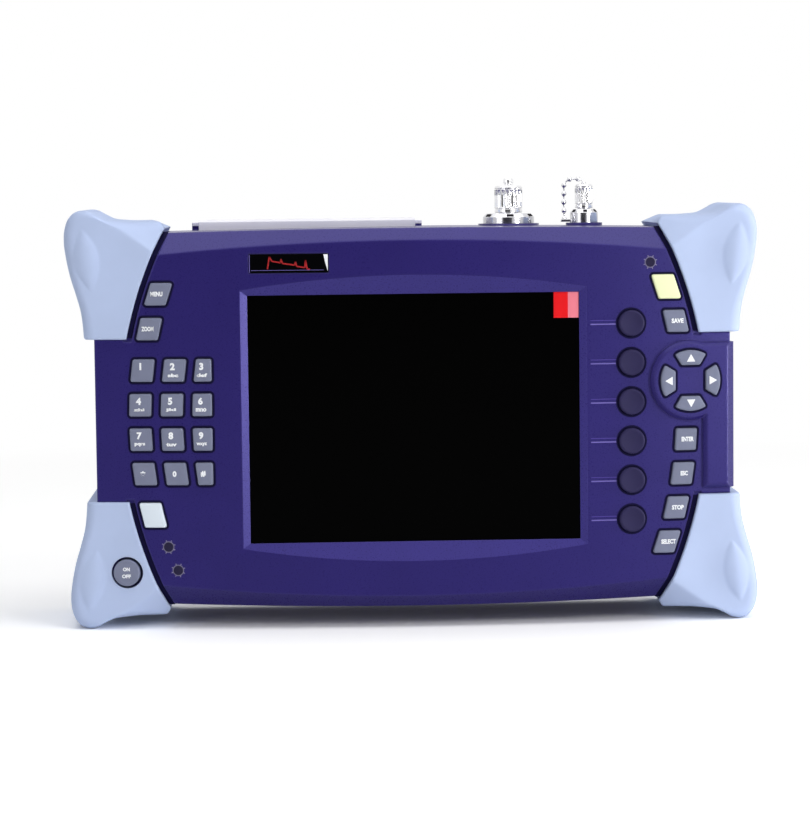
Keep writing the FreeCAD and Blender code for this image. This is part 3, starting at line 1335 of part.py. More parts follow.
make_screen_window()
make_lcd_module()
make_film_tab()
make_name_plate()
make_status_lights()
make_key_board()
make_key_mat()
make_main_board()
make_optics_module()
make_fibre_spool()
make_battery_pack()
make_battery_cover()
make_tilt_stand()
make_stand_pins()
make_housing_screws()
make_port("wide_port", "wide_x", "wide_flange_radius", "wide_flange_height", "barrel_radius", False)
make_port("narrow_port", "narrow_x", "narrow_flange_radius", "narrow_flange_height", "narrow_barrel", True)
make_cap("wide_port_cap", "wide_x", "wide_cap_radius", "wide_cap_height", "wide_flange_height",
         "barrel_radius", True)
make_cap("narrow_port_cap", "narrow_x", "narrow_cap_radius", "narrow_cap_height", "narrow_flange_height",
         "narrow_barrel", False)
make_cap_chain()
make_port_cover()
make_connector_panel()


def export_parts():
    """Check every object, then write one STEP file for each sub-part."""
    doc.recompute()
    broken = [obj.Label for obj in doc.Objects if {"Invalid", "Error"} & set(obj.State)]
    broken += [obj.Label for obj in PARTS if obj.Shape.isNull() or not obj.Shape.isValid()]
    if broken:
        raise RuntimeError(f"these objects failed: {broken}")
    os.makedirs("parts", exist_ok=True)
    for obj in PARTS:
        obj.Shape.exportStep(f"parts/{obj.Label}.step")


export_parts()
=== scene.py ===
"""Dresses a portable optical fibre tester: its bumpers, keys, caps, chain, prints and finishes."""
import json
import logging
import math
from dataclasses import dataclass, replace
from enum import Enum

import bmesh
import bpy
import numpy as np
from mathutils import Matrix


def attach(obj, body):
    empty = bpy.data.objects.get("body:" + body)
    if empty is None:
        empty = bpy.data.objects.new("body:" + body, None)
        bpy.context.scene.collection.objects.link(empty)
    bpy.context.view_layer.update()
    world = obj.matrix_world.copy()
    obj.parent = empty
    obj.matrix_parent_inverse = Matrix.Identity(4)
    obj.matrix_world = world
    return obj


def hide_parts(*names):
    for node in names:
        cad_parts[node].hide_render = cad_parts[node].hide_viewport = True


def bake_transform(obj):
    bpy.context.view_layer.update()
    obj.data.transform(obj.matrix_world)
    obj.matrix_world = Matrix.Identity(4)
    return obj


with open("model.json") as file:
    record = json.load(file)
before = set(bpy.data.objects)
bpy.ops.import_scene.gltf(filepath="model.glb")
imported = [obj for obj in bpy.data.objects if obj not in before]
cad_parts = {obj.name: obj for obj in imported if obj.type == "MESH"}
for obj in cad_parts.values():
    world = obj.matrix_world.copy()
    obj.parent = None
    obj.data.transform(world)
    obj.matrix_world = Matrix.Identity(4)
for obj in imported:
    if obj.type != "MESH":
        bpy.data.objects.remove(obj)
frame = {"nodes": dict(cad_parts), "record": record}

Array = np.ndarray
Colour = tuple[int, int, int]
Pair = tuple[float, float]
Triple = tuple[float, float, float]
Socket = bpy.types.NodeSocket
MM = 0.001
log = logging.getLogger("tester")

# Sizes that several classes share, in millimetres. Heights count from MIDDLE, the window's middle.
MIDDLE = 83.8
ARC_RADIUS = 164.0
ARC_REACH = 117.4
ARC_LOW, ARC_HIGH = 32.5, 76.2
SOFT_KEYS = 6
SOFT_KEY_MIDDLE = -2.6
SOFT_KEY_PITCH = 15.7
PORT_Y = 14.0
PORT_SEAT = 76.2
WIDE_PORT_X = 41.3
NARROW_PORT_X = 72.5
POWER_BUTTON = (-115.4, -60.7)

# Values that the finishes share; the places are in metres.
BRUSH_STRETCH = (1.0, 40.0, 40.0)
BEVEL_SAMPLES = 6
ROUGHNESS_SWING = 0.05
EDGE_FACING = (0.80, 0.985)
EAR_HEIGHT = (0.16030, 0.16034)
EAR_REACH = (0.0110, 0.0111)
FILM_SPLIT = (0.06145, 0.06155)
TRACKS_A_METRE, TRACK_SHARE = 160.0, 0.06

# Prints on keys, prints and painted highlights on the casing, the tightest corner of a key and the
# letters' extra weight.
KEY_PRINT_RISE, KEY_PRINT_DEPTH = 0.03, 0.15
CASING_PRINT_AND_HIGHLIGHT = (-0.1, 0.05)
SHARPEST_CORNER = 0.15
LETTER_WEIGHT = 0.055

# How finely curves are sampled, and how near points have to be to merge, in metres.
SAMPLES_A_KNOT = 40
MERGE, SLIVER = 1e-6, 1e-7


# ---------------------------------------------------------------- finishes

def linear(colour: Colour, gain: float = 1.0) -> tuple[float, ...]:
    """Linear colour of an sRGB colour, made lighter or darker.

    Args:
        colour: red, green and blue from 0 to 255.
        gain: factor on the linear colour.

    Returns:
        Linear red, green and blue, and an alpha of 1.
    """
    parts = np.asarray(colour, dtype=float) / 255
    parts = np.where(parts <= 0.04045, parts / 12.92, ((parts + 0.055) / 1.055) ** 2.4)
    return (*np.clip(parts * gain, 0, 1).tolist(), 1.0)


class Pattern(Enum):
    """What a finish carries besides its drift and grain."""

    PLAIN = "plain"
    BRUSHED = "brushed"
    BOARD = "board"
    FILM = "film"
    HINGE_EARS = "hinge ears"


class Nodes:
    """Places and joins the nodes of one material or world."""

    def __init__(self, owner: bpy.types.ID) -> None:
        """Starts from an empty tree.

        Args:
            owner: the material or world whose nodes are made.
        """
        owner.use_nodes = True
        self.tree = owner.node_tree
        self.tree.nodes.clear()

    def add(self, kind: str, sockets: dict | None = None, **settings: object) -> bpy.types.Node:
        """Adds a node.

        Args:
            kind: the node's type.
            sockets: values of its input sockets, by name or number; a socket is joined instead.
            settings: the node's own options.

        Returns:
            The node.
        """
        node = self.tree.nodes.new(kind)
        for key, value in settings.items():
            setattr(node, key, value)
        for key, value in (sockets or {}).items():
            if isinstance(value, Socket):
                self.tree.links.new(value, node.inputs[key])
            else:
                node.inputs[key].default_value = value
        return node

    def mix(self, share: object, first: object, second: object) -> Socket:
        """Colour between two colours, each a value or a socket; share is that of the second."""
        node = self.add("ShaderNodeMix", {0: share, 6: first, 7: second}, data_type="RGBA")
        return node.outputs[2]

    def combine(self, operation: str, first: Socket, second: Socket) -> Socket:
        """Result of one operation of arithmetic on two sockets."""
        return self.add("ShaderNodeMath", {0: first, 1: second}, operation=operation).outputs[0]

    def spread(self, value: Socket, low: object, high: object, start: float = 0.3,
               end: float = 0.7) -> Socket:
        """Maps the values from start to end onto low to high.

        Args:
            value: the socket to map.
            low: result at start, a number or a socket.
            high: result at end.
            start: lower end of the values.
            end: upper end of the values.

        Returns:
            The mapped socket.
        """
        return self.add("ShaderNodeMapRange", {"Value": value, "From Min": start, "From Max": end,
                                               "To Min": low, "To Max": high}).outputs[0]


@dataclass(frozen=True)
class Finish:
    """One surface finish; lengths are in millimetres."""

    label: str
    colour: Colour
    roughness: float
    metallic: float = 0.0
    specular: float = 0.3
    tint: Colour = (255, 255, 255)
    drift: float = 0.05
    drift_size: float = 22.0
    grain: float = 0.006
    grain_size: float = 0.5
    edge: float = 0.25
    # Painted highlight: how far every edge is lightened towards edge_highlight_colour, the same
    # whatever the light.
    edge_highlight: float = 0.12
    edge_highlight_colour: Colour = (255, 255, 255)
    pattern: Pattern = Pattern.PLAIN
    second: Colour = (255, 255, 255)

    def material(self) -> bpy.types.Material:
        """Makes the finish as a material, once.

        Returns:
            The material.
        """
        found = bpy.data.materials.get(self.label)
        if found:
            return found
        material = bpy.data.materials.new(self.label)
        nodes = Nodes(material)
        place = nodes.add("ShaderNodeTexCoord").outputs["Object"]
        stretch = BRUSH_STRETCH if self.pattern is Pattern.BRUSHED else (1.0, 1.0, 1.0)
        place = nodes.add("ShaderNodeMapping", {"Vector": place, "Scale": stretch}).outputs[0]
        drift, grain = [nodes.add("ShaderNodeTexNoise", {
            "Vector": place, "Scale": 1 / (size * MM), "Detail": detail}).outputs[0]
            for size, detail in ((self.drift_size, 4.0), (self.grain_size, 3.0))]
        colour = nodes.mix(nodes.spread(drift, 0.0, 1.0), linear(self.colour, 1 - self.drift),
                           linear(self.colour, 1 + self.drift))
        colour = self.patterned(nodes, place, colour)
        smooth = nodes.add("ShaderNodeBevel", {"Radius": self.edge * MM},
                           samples=BEVEL_SAMPLES).outputs[0]
        # Painted highlight: where the bevelled normal turns from the flat normal, at edges, the
        # colour is lightened.
        if self.edge_highlight:
            flat = nodes.add("ShaderNodeNewGeometry").outputs["Normal"]
            facing = nodes.add("ShaderNodeVectorMath", {0: smooth, 1: flat},
                               operation="DOT_PRODUCT").outputs["Value"]
            edge = nodes.spread(facing, self.edge_highlight, 0.0, *EDGE_FACING)
            colour = nodes.mix(edge, colour, linear(self.edge_highlight_colour))
        rough = nodes.spread(grain, max(self.roughness - ROUGHNESS_SWING, 0.02),
                             self.roughness + ROUGHNESS_SWING)
        bump = nodes.add("ShaderNodeBump", {"Height": grain, "Normal": smooth, "Strength": 1.0,
                                            "Distance": self.grain * MM}).outputs[0]
        shader = nodes.add("ShaderNodeBsdfPrincipled", {
            "Base Color": colour, "Roughness": rough, "Metallic": self.metallic,
            "Specular IOR Level": self.specular, "Specular Tint": linear(self.tint),
            "Normal": bump})
        nodes.add("ShaderNodeOutputMaterial", {"Surface": shader.outputs[0]})
        return material

    def patterned(self, nodes: Nodes, place: Socket, colour: Socket) -> Socket:
        """Lays the finish's own pattern over its colour.

        Args:
            nodes: the material's nodes.
            place: coordinates of the surface.
            colour: the plain colour.

        Returns:
            The colour with the pattern.
        """
        if self.pattern in (Pattern.PLAIN, Pattern.BRUSHED):
            return colour
        if self.pattern is Pattern.BOARD:
            dark, light = (0, 0, 0, 1), (1, 1, 1, 1)
            share = nodes.add("ShaderNodeTexBrick", {
                "Vector": place, "Scale": TRACKS_A_METRE, "Mortar Size": TRACK_SHARE,
                "Color1": dark, "Color2": dark, "Mortar": light}).outputs[0]
            return nodes.mix(share, colour, linear(self.second))
        across, _, up = nodes.add("ShaderNodeSeparateXYZ", {"Vector": place}).outputs
        if self.pattern is Pattern.HINGE_EARS:
            share = nodes.combine("MULTIPLY", nodes.spread(up, 0.0, 1.0, *EAR_HEIGHT),
                                  nodes.spread(across, 1.0, 0.0, *EAR_REACH))
        else:
            share = nodes.spread(across, 0.0, 1.0, *FILM_SPLIT)
        return nodes.mix(share, colour, linear(self.second))


class Paint(Enum):
    """The finishes of this instrument."""

    # Each finish's edge_highlight is a painted highlight on its edges; the casing's is violet.
    CASING = Finish("casing_purple", (38, 29, 97), 0.30, specular=0.5, tint=(172, 168, 255),
                    grain=0.0012, edge=1.2, edge_highlight=0.16, edge_highlight_colour=(150, 142, 226))
    # Painted light: the window slopes take a lighter copy of the casing's purple, as if lit.
    LIT_SLOPE = replace(CASING, label="casing_purple_slopes_painted_lit", colour=(44, 35, 108), specular=0.9,
                    grain=0.002, edge=0.3, edge_highlight=0.1)
    REAR = replace(CASING, label="casing_purple_rear", pattern=Pattern.HINGE_EARS,
                   second=(246, 245, 255))
    FLAP = Finish("flap_lavender", (246, 245, 255), 0.5, grain=0.005, edge_highlight=0.05)
    BUMPER = Finish("bumper_pale_blue", (184, 199, 232), 0.62, specular=0.15, drift=0.03,
                    grain=0.008, grain_size=0.4, edge=0.5, edge_highlight=0.35)
    KEY = Finish("key_grey", (122, 127, 150), 0.55, specular=0.15, drift=0.04, drift_size=6,
                 edge_highlight=0.4, edge=0.45)
    SOFT_KEY = replace(KEY, label="soft_key_violet", colour=(43, 39, 76), roughness=0.5,
                       specular=0.12, drift=0.05, edge_highlight=0.22, edge_highlight_colour=(170, 164, 220), edge=0.5)
    WHITE_KEY = Finish("key_white", (222, 232, 242), 0.55, specular=0.15, drift=0.02, edge_highlight=0.05)
    YELLOW_KEY = replace(WHITE_KEY, label="key_yellow", colour=(240, 247, 198), drift=0.03,
                         edge_highlight=0.08)
    # Painted shade: the dark navy of the rings round the key wells and of the strips in the
    # grooves.
    WELL_SHADE = Finish("painted_well_shade", (16, 12, 52), 0.7, specular=0.1, edge_highlight=0.0, grain=0.002)
    # Real white print, also used for the name plate's painted glint.
    PRINT = Finish("white_print_and_glint", (246, 248, 252), 0.6, specular=0.2, drift=0.01, edge_highlight=0.0,
                   grain=0.001)
    # Painted highlights: violet strokes on the leads' edges and on the name plate's edges, and a
    # fainter one.
    LINE = replace(PRINT, label="violet_painted_highlight", colour=(112, 102, 178), drift=0.03)
    FAINT_HIGHLIGHT = replace(LINE, label="faint_print", colour=(84, 70, 160))
    MARK = replace(PRINT, label="grey_print", colour=(134, 128, 160), roughness=0.5, specular=0.3,
                   drift=0.1, drift_size=1.5)
    TRACE = replace(PRINT, label="red_print", colour=(168, 30, 34), roughness=0.5, drift=0.1,
                    drift_size=2)
    GLASS = Finish("screen_black", (3, 3, 3), 0.16, specular=0.01, drift=0.02, edge_highlight=0.0,
                   grain=0.0005, edge=0.1)
    PLATE = Finish("plate_black", (5, 5, 7), 0.2, specular=0.02, drift=0.02, edge_highlight=0.05,
                   grain=0.0005, edge=0.15)
    FILM = Finish("film_red", (236, 18, 26), 0.35, specular=0.2, drift=0.03, drift_size=4, edge_highlight=0.0,
                  grain=0.002, pattern=Pattern.FILM, second=(246, 134, 150))
    LIGHT = Finish("light_pipe", (30, 25, 58), 0.18, specular=0.2, drift=0.1, drift_size=2,
                   edge=0.3)
    CHROME = Finish("polished_plating", (236, 236, 238), 0.10, metallic=1.0, drift=0.02,
                    grain=0.001, edge_highlight=0.0)
    PLATED = replace(CHROME, label="nickel_plating", colour=(214, 214, 218), roughness=0.16,
                     drift=0.03, grain=0.002)
    STEEL = replace(CHROME, label="brushed_steel", colour=(178, 178, 184), roughness=0.32,
                    drift=0.08, grain=0.003, pattern=Pattern.BRUSHED)
    ALUMINIUM = replace(STEEL, label="milled_aluminium", colour=(196, 198, 203), roughness=0.4,
                        drift=0.05, grain=0.006)
    # Painted shade: the dark of the flanges' spanner slots.
    SLOT_SHADE = Finish("painted_slot_shade", (26, 24, 30), 0.7, specular=0.1, edge_highlight=0.0)
    DARK = Finish("black_plastic", (38, 38, 42), 0.55, drift=0.08)
    BOARD = Finish("solder_mask", (22, 92, 52), 0.4, drift=0.1, pattern=Pattern.BOARD,
                   second=(60, 130, 78))
    SILICONE = Finish("key_mat_rubber", (92, 92, 100), 0.7, drift=0.06)
    SPOOL = Finish("spool_plastic", (224, 224, 218), 0.5, drift=0.03)


SLOT_PAINT = {
    "housing": Paint.CASING, "cover": Paint.FLAP, "bumper": Paint.BUMPER, "key": Paint.KEY,
    "dark_key": Paint.SOFT_KEY, "white_key": Paint.WHITE_KEY, "yellow_key": Paint.YELLOW_KEY,
    "glass": Paint.GLASS, "dark": Paint.DARK, "red_film": Paint.FILM, "plate": Paint.PLATE,
    "light": Paint.LIGHT, "board": Paint.BOARD, "silicone": Paint.SILICONE,
    "aluminium": Paint.ALUMINIUM, "white_plastic": Paint.SPOOL, "steel": Paint.STEEL,
    "plated": Paint.PLATED, "cap": Paint.CHROME}


# ---------------------------------------------------------------- surfaces

class Surface:
    """Gathers grids of points, in metres, into one mesh."""

    def __init__(self) -> None:
        """Starts empty."""
        self._points: list[Array] = []
        self._faces: list[list[int]] = []
        self._count = 0

    def _take(self, points: Array) -> int:
        """Keeps points.

        Args:
            points: one point a row, or a grid of them.

        Returns:
            The number of the first.
        """
        start = self._count
        self._points.append(points.reshape(-1, 3))
        self._count += self._points[-1].shape[0]
        return start

    def add(self, points: Array, faces: list[list[int]]) -> None:
        """Adds ready faces.

        Args:
            points: one point a row.
            faces: numbers of their points.
        """
        start = self._take(points)
        self._faces += [[start + number for number in face] for face in faces]

    def grid(self, points: Array, around: bool = False, along: bool = False) -> "Surface":
        """Adds one quad between each four neighbours of a grid.

        Args:
            points: rows by columns by 3.
            around: joins the last column to the first.
            along: joins the last row to the first.

        Returns:
            The surface itself.
        """
        rows, columns = points.shape[:2]
        index = np.arange(rows * columns).reshape(rows, columns) + self._take(points)
        if along:
            index = np.concatenate([index, index[:1]])
        if around:
            index = np.concatenate([index, index[:, :1]], axis=1)
        quads = np.stack([index[:-1, :-1], index[:-1, 1:], index[1:, 1:], index[1:, :-1]], axis=-1)
        self._faces += quads.reshape(-1, 4).tolist()
        return self

    def skin(self, rings: Array) -> "Surface":
        """A closed form over rings of points, with both ends drawn to their middles.

        Args:
            rings: rings by points by 3.

        Returns:
            The surface itself.
        """
        first, last = (np.broadcast_to(end.mean(axis=1, keepdims=True), end.shape)
                       for end in (rings[:1], rings[-1:]))
        return self.grid(np.concatenate([first, rings, last]), around=True)

    def build(self, name: str, crease: float = 35.0) -> bpy.types.Object:
        """Makes the mesh: doubled points merged, faces turned outwards, smooth below a crease.

        Args:
            name: name of the piece.
            crease: angle in degrees above which an edge stays sharp.

        Returns:
            The new object.
        """
        mesh = bpy.data.meshes.new(name)
        mesh.from_pydata(np.concatenate(self._points).tolist(), [], self._faces)
        work = bmesh.new()
        work.from_mesh(mesh)
        bmesh.ops.remove_doubles(work, verts=work.verts, dist=MERGE)
        bmesh.ops.dissolve_degenerate(work, edges=work.edges, dist=SLIVER)
        bmesh.ops.recalc_face_normals(work, faces=work.faces)
        work.to_mesh(mesh)
        work.free()
        mesh.polygons.foreach_set("use_smooth", np.ones(len(mesh.polygons), dtype=bool))
        mesh.set_sharp_from_angle(angle=math.radians(crease))
        made = bpy.data.objects.new(name, mesh)
        bpy.context.scene.collection.objects.link(made)
        return made


def finish_piece(piece: bpy.types.Object, paint: Paint, body: str = "instrument") -> None:
    """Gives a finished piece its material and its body.

    Args:
        piece: the object.
        paint: its finish.
        body: the body that it moves with.
    """
    piece.data.materials.clear()
    piece.data.materials.append(paint.value.material())
    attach(piece, body)
    log.info("%s rides on %s", piece.name, body)


def offset_loop(corners: Array, grow: float, radius: float, steps: int = 5) -> Array:
    """Loop round a convex polygon, grown and with round corners.

    Each corner is an arc about the point that lies radius inside both grown sides, and it turns
    from the outward direction of one side to that of the next.

    Args:
        corners: polygon, counter-clockwise, one corner a row.
        grow: how far each side moves outwards.
        radius: radius of the round corners.
        steps: points on each corner.

    Returns:
        Points of the loop, one a row.
    """
    edge = np.roll(corners, -1, axis=0) - corners
    ahead = np.stack([edge[:, 1], -edge[:, 0]], axis=1) / np.linalg.norm(edge, axis=1)[:, None]
    behind = np.roll(ahead, 1, axis=0)
    scale = (grow - radius) / (1 + (ahead * behind).sum(axis=1))
    centre = corners + (ahead + behind) * scale[:, None]
    start = np.arctan2(behind[:, 1], behind[:, 0])
    turn = (np.arctan2(ahead[:, 1], ahead[:, 0]) - start) % (2 * math.pi)
    angle = start[:, None] + turn[:, None] * np.linspace(0, 1, steps)
    arc = np.stack([np.cos(angle), np.sin(angle)], axis=-1) * radius
    return (centre[:, None] + arc).reshape(-1, 2)


def circle(x: float, height: float, radius: float, count: int = 48) -> Array:
    """Corners of a fine regular polygon about a point, counter-clockwise."""
    angle = np.linspace(0, 2 * math.pi, count, endpoint=False)
    return np.stack([x + radius * np.cos(angle), height + radius * np.sin(angle)], axis=1)


def turned(points: object, angle: float, middle: object = (0.0, 0.0)) -> Array:
    """Flat points turned clockwise by an angle in radians, then moved by middle."""
    cos, sin = math.cos(angle), math.sin(angle)
    return np.asarray(points) @ np.array([(cos, -sin), (sin, cos)]) + middle


def arc_x(height: Array | float, radius: float = ARC_RADIUS) -> Array:
    """Distance from the middle, at a height, of an arc about the bumpers' inner arc's centre."""
    return ARC_REACH - ARC_RADIUS + np.sqrt(radius ** 2 - height ** 2)


def soft_key_height(number: int) -> float:
    """Height of a soft key, counted from the top."""
    return SOFT_KEY_MIDDLE + SOFT_KEY_PITCH * ((SOFT_KEYS - 1) / 2 - number)


def lengths(line: Array) -> Array:
    """Distance along a line of points, from its first to each of them."""
    return np.concatenate([[0], np.cumsum(np.linalg.norm(np.diff(line, axis=0), axis=1))])


def at_shares(share: Array, known: Array, line: Array) -> Array:
    """Flat points of a line at some distances, from the distances of its own points."""
    return np.stack([np.interp(share, known, line[:, axis]) for axis in (0, 1)], axis=1)


def smooth_curve(points: Array, count: int) -> Array:
    """Smooth curve through points, sampled at equal shares of its length.

    Between two points it is the cubic whose slopes there are the slopes between the neighbours.

    Args:
        points: flat points that the curve passes, one a row.
        count: number of samples.

    Returns:
        The samples, one a row.
    """
    def sample(at: Array) -> Array:
        """Cubic pieces at places along the chord."""
        piece = np.clip(np.searchsorted(knot, at, side="right") - 1, 0, len(knot) - 2)
        span = (knot[piece + 1] - knot[piece])[:, None]
        t = ((at - knot[piece])[:, None]) / span
        return ((2 * t ** 3 - 3 * t ** 2 + 1) * points[piece]
                + (t ** 3 - 2 * t ** 2 + t) * span * slope[piece]
                + (3 * t ** 2 - 2 * t ** 3) * points[piece + 1]
                + (t ** 3 - t ** 2) * span * slope[piece + 1])

    knot = lengths(points)
    slope = np.gradient(points, knot, axis=0)
    line = sample(np.linspace(0, knot[-1], SAMPLES_A_KNOT * len(points)))
    length = lengths(line)
    return at_shares(np.linspace(0, length[-1], count), length, line)


@dataclass(frozen=True)
class CrownedFace:
    """The casing's front: crowned across its width, with an arched bevel above and below."""

    front: float = -34.0
    crown: float = 900.0
    bevel_radius: float = 482.5
    bevel_height: float = 70.8

    def depth(self, x: Array, height: Array) -> Array:
        """Depth of the face: the deeper of the crown's circle and the bevel's 45 degree cone.

        Args:
            x: distances from the middle, across.
            height: distances from the middle, upwards.

        Returns:
            The depth at each of them.
        """
        crown = self.front + self.crown - np.sqrt(self.crown ** 2 - x ** 2)
        reach = np.abs(height) + self.bevel_radius - self.bevel_height
        return np.maximum(crown, self.front + np.hypot(x, reach) - self.bevel_radius)

    def touch(self, x: float, points: Array, rise: float | Array) -> Array:
        """Lays flat points against the face where it is tangent at x, and lifts them outwards.

        Args:
            x: where the flat patch touches the crown.
            points: x and height of each point, in its last axis.
            rise: how far they stand before the face.

        Returns:
            The points in metres.
        """
        angle = math.asin(x / self.crown)
        across = points[..., 0] - x
        east = self.crown * math.sin(angle) + across * math.cos(angle) + rise * math.sin(angle)
        back = (self.front + self.crown * (1 - math.cos(angle)) + across * math.sin(angle)
                - rise * math.cos(angle))
        return np.stack([east, back, points[..., 1] + MIDDLE], axis=-1) * MM


FACE = CrownedFace()


def lay_slab(surface: Surface, x: float, loop: Array, low: float, high: float) -> None:
    """Thin closed slab of any convex outline on the face.

    Args:
        surface: where it is gathered.
        x: where its plane touches the face.
        loop: its outline, one point a row.
        low: its back, before the face.
        high: its front, before the face.
    """
    surface.skin(np.stack([FACE.touch(x, loop, low), FACE.touch(x, loop, high)]))


# ---------------------------------------------------------------- lettering

@dataclass(frozen=True)
class Legend:
    """Characters on a key: where their middle is from the key's middle, and their size."""

    text: str
    across: float
    up: float
    height: float
    width: float = 0.0

    def points(self) -> tuple[Array, list[list[int]]]:
        """The characters as a slab from -0.5 to 0.5 thick, centred, at their size.

        Returns:
            Points, one a row, and faces.
        """
        curve = bpy.data.curves.new("letters", "FONT")
        curve.body = self.text
        curve.extrude = 0.5
        curve.offset = LETTER_WEIGHT
        curve.resolution_u = 3
        holder = bpy.data.objects.new("letters", curve)
        bpy.context.scene.collection.objects.link(holder)
        bpy.context.view_layer.update()
        whole = holder.evaluated_get(bpy.context.evaluated_depsgraph_get())
        mesh = bpy.data.meshes.new_from_object(whole)
        points = np.empty(len(mesh.vertices) * 3)
        mesh.vertices.foreach_get("co", points)
        points = points.reshape(-1, 3)
        faces = [list(polygon.vertices) for polygon in mesh.polygons]
        bpy.data.objects.remove(holder)
        bpy.data.meshes.remove(mesh)
        low, high = points.min(axis=0), points.max(axis=0)
        points = points - (low + high) / 2 * (1, 1, 0)
        tall = self.height / (high[1] - low[1])
        wide = self.width / (high[0] - low[0]) if self.width else tall
        return points * (wide, tall, 1), faces


def pad_legends() -> dict[str, tuple[Legend, ...]]:
    """Figures and letters of the numeric keys.

    Returns:
        The characters of each key, by the last part of its name.
    """
    letters = {"2": "abc", "3": "def", "4": "ghi", "5": "jkl", "6": "mno", "7": "pqrs", "8": "tuv",
               "9": "wxyz"}
    legends = {figure: (Legend(figure, -0.6, 1.6, 2.9), Legend(small, -0.4, -1.9, 1.5, 4.3))
               for figure, small in letters.items()}
    legends["1"] = (Legend("1", -0.7, 1.7, 2.9),)
    for name, sign in (("star", "*"), ("0", "0"), ("hash", "#")):
        legends[name] = (Legend(sign, -0.6, 0.1, 2.4),)
    return legends


# ---------------------------------------------------------------- keys

@dataclass
class Key:
    """A silicone key: rim behind the well, straight sides, soft top edge and a faint dome.

    Each ring of its skin is the outline grown by one amount and lifted by another; the top's rings
    shrink to the middle while the dome's height grows with one minus the square of their size.
    """

    name: str
    x: float
    middle: Pair
    corners: Array
    proud: float
    paint: Paint = Paint.KEY
    slot: str = "key"
    base: float = 0.0
    corner: float = 0.8
    edge: float = 0.6
    dome: float = 0.16
    rim: float = 0.8
    rim_top: float = -2.8
    back_y: float = -20.4
    straight: float = 0.4
    top_rings: tuple[float, ...] = (0.9, 0.7, 0.4, 0.15)
    arrow: tuple[Pair, ...] = ((-1.75, -1.35), (1.75, -1.35), (0.0, 1.75))
    legends: tuple[Legend, ...] = ()
    pointer: float | None = None

    def back(self) -> float:
        """Finds the key's back, with room for the crown's slope.

        Returns:
            How far it lies behind the face.
        """
        loop = offset_loop(self.corners, self.rim, self.corner)[:, 0]
        reach = max(0.0, float((loop.max() - self.x) if self.x > 0 else (self.x - loop.min())))
        lag = reach * math.tan(math.asin(abs(self.x) / FACE.crown))
        return float(FACE.depth(np.array(self.x), np.array(0.0))) + lag - self.back_y

    def skin(self) -> Surface:
        """Builds the key's closed surface from its back to the middle of its top.

        Returns:
            The surface.
        """
        turn = np.linspace(0, math.pi / 2, 5)
        profile = [(self.rim, self.back()), (self.rim, self.rim_top), (0.0, self.rim_top),
                   (0.0, self.proud - self.edge - self.straight)]
        profile += zip(-self.edge * (1 - np.cos(turn)), self.proud - self.edge * (1 - np.sin(turn)))
        rings = [FACE.touch(self.x, offset_loop(self.corners, grow,
                                                max(self.corner + grow, SHARPEST_CORNER)), rise)
                 for grow, rise in profile]
        top = offset_loop(self.corners, -self.edge, max(self.corner - self.edge, SHARPEST_CORNER))
        middle = top.mean(axis=0)
        rings += [FACE.touch(self.x, middle + (top - middle) * size,
                             self.proud + self.dome * (1 - size ** 2)) for size in self.top_rings]
        return Surface().skin(np.stack(rings))

    def print_legends(self) -> Surface:
        """Lays the key's characters and pointer as thin slabs on its top.

        Returns:
            The surface with all of them.
        """
        surface = Surface()
        top = self.proud + max(self.dome, 0.0) + KEY_PRINT_RISE
        low = top - KEY_PRINT_DEPTH
        for legend in self.legends:
            points, faces = legend.points()
            flat = points[:, :2] + (self.middle[0] + legend.across, self.middle[1] + legend.up)
            rise = low + (points[:, 2] + 0.5) * KEY_PRINT_DEPTH
            surface.add(FACE.touch(self.x, flat, rise), faces)
        if self.pointer is not None:
            arrow = turned(self.arrow, math.radians(self.pointer), self.middle)
            lay_slab(surface, self.x, offset_loop(arrow, 0, 0.12), low, top)
        return surface

    def make(self) -> None:
        """Builds the key and what is printed on it."""
        piece = self.skin().build(f"{self.name}_cap")
        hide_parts(self.name)
        finish_piece(piece, self.paint, self.name)
        if self.legends or self.pointer is not None:
            finish_piece(self.print_legends().build(f"{self.name}_print"), Paint.PRINT, self.name)


@dataclass(frozen=True)
class SideKey:
    """One key beside a bumper's arc, left (-1) or right (1) of the middle, and its word."""

    name: str
    side: int
    height: float
    word: str = ""
    word_width: float = 4.9
    size: Pair = (8.7, 8.9)
    paint: Paint = Paint.KEY
    slot: str = "key"

    def legends(self) -> tuple[Legend, ...]:
        """The key's word, if it has one."""
        return (Legend(self.word, 0.5 * self.side, 0.1, 1.9, self.word_width),) if self.word else ()


SIDE_KEYS = (
    SideKey("function_key_left_1", -1, 50.4, "MENU"),
    SideKey("function_key_left_2", -1, 36.6, "ZOOM"),
    SideKey("shift_key", -1, -37.7, size=(8.8, 9.9), paint=Paint.WHITE_KEY, slot="white_key"),
    SideKey("start_key", 1, 51.0, size=(9.2, 9.7), paint=Paint.YELLOW_KEY, slot="yellow_key"),
    SideKey("function_key_right_1", 1, 37.2, "SAVE"),
    SideKey("function_key_right_2", 1, -10.3, "ENTER", 5.0),
    SideKey("function_key_right_3", 1, -24.0, "ESC", 3.0),
    SideKey("function_key_right_4", 1, -37.7, "STOP"),
    SideKey("function_key_right_5", 1, -51.4, "SELECT", 6.0))


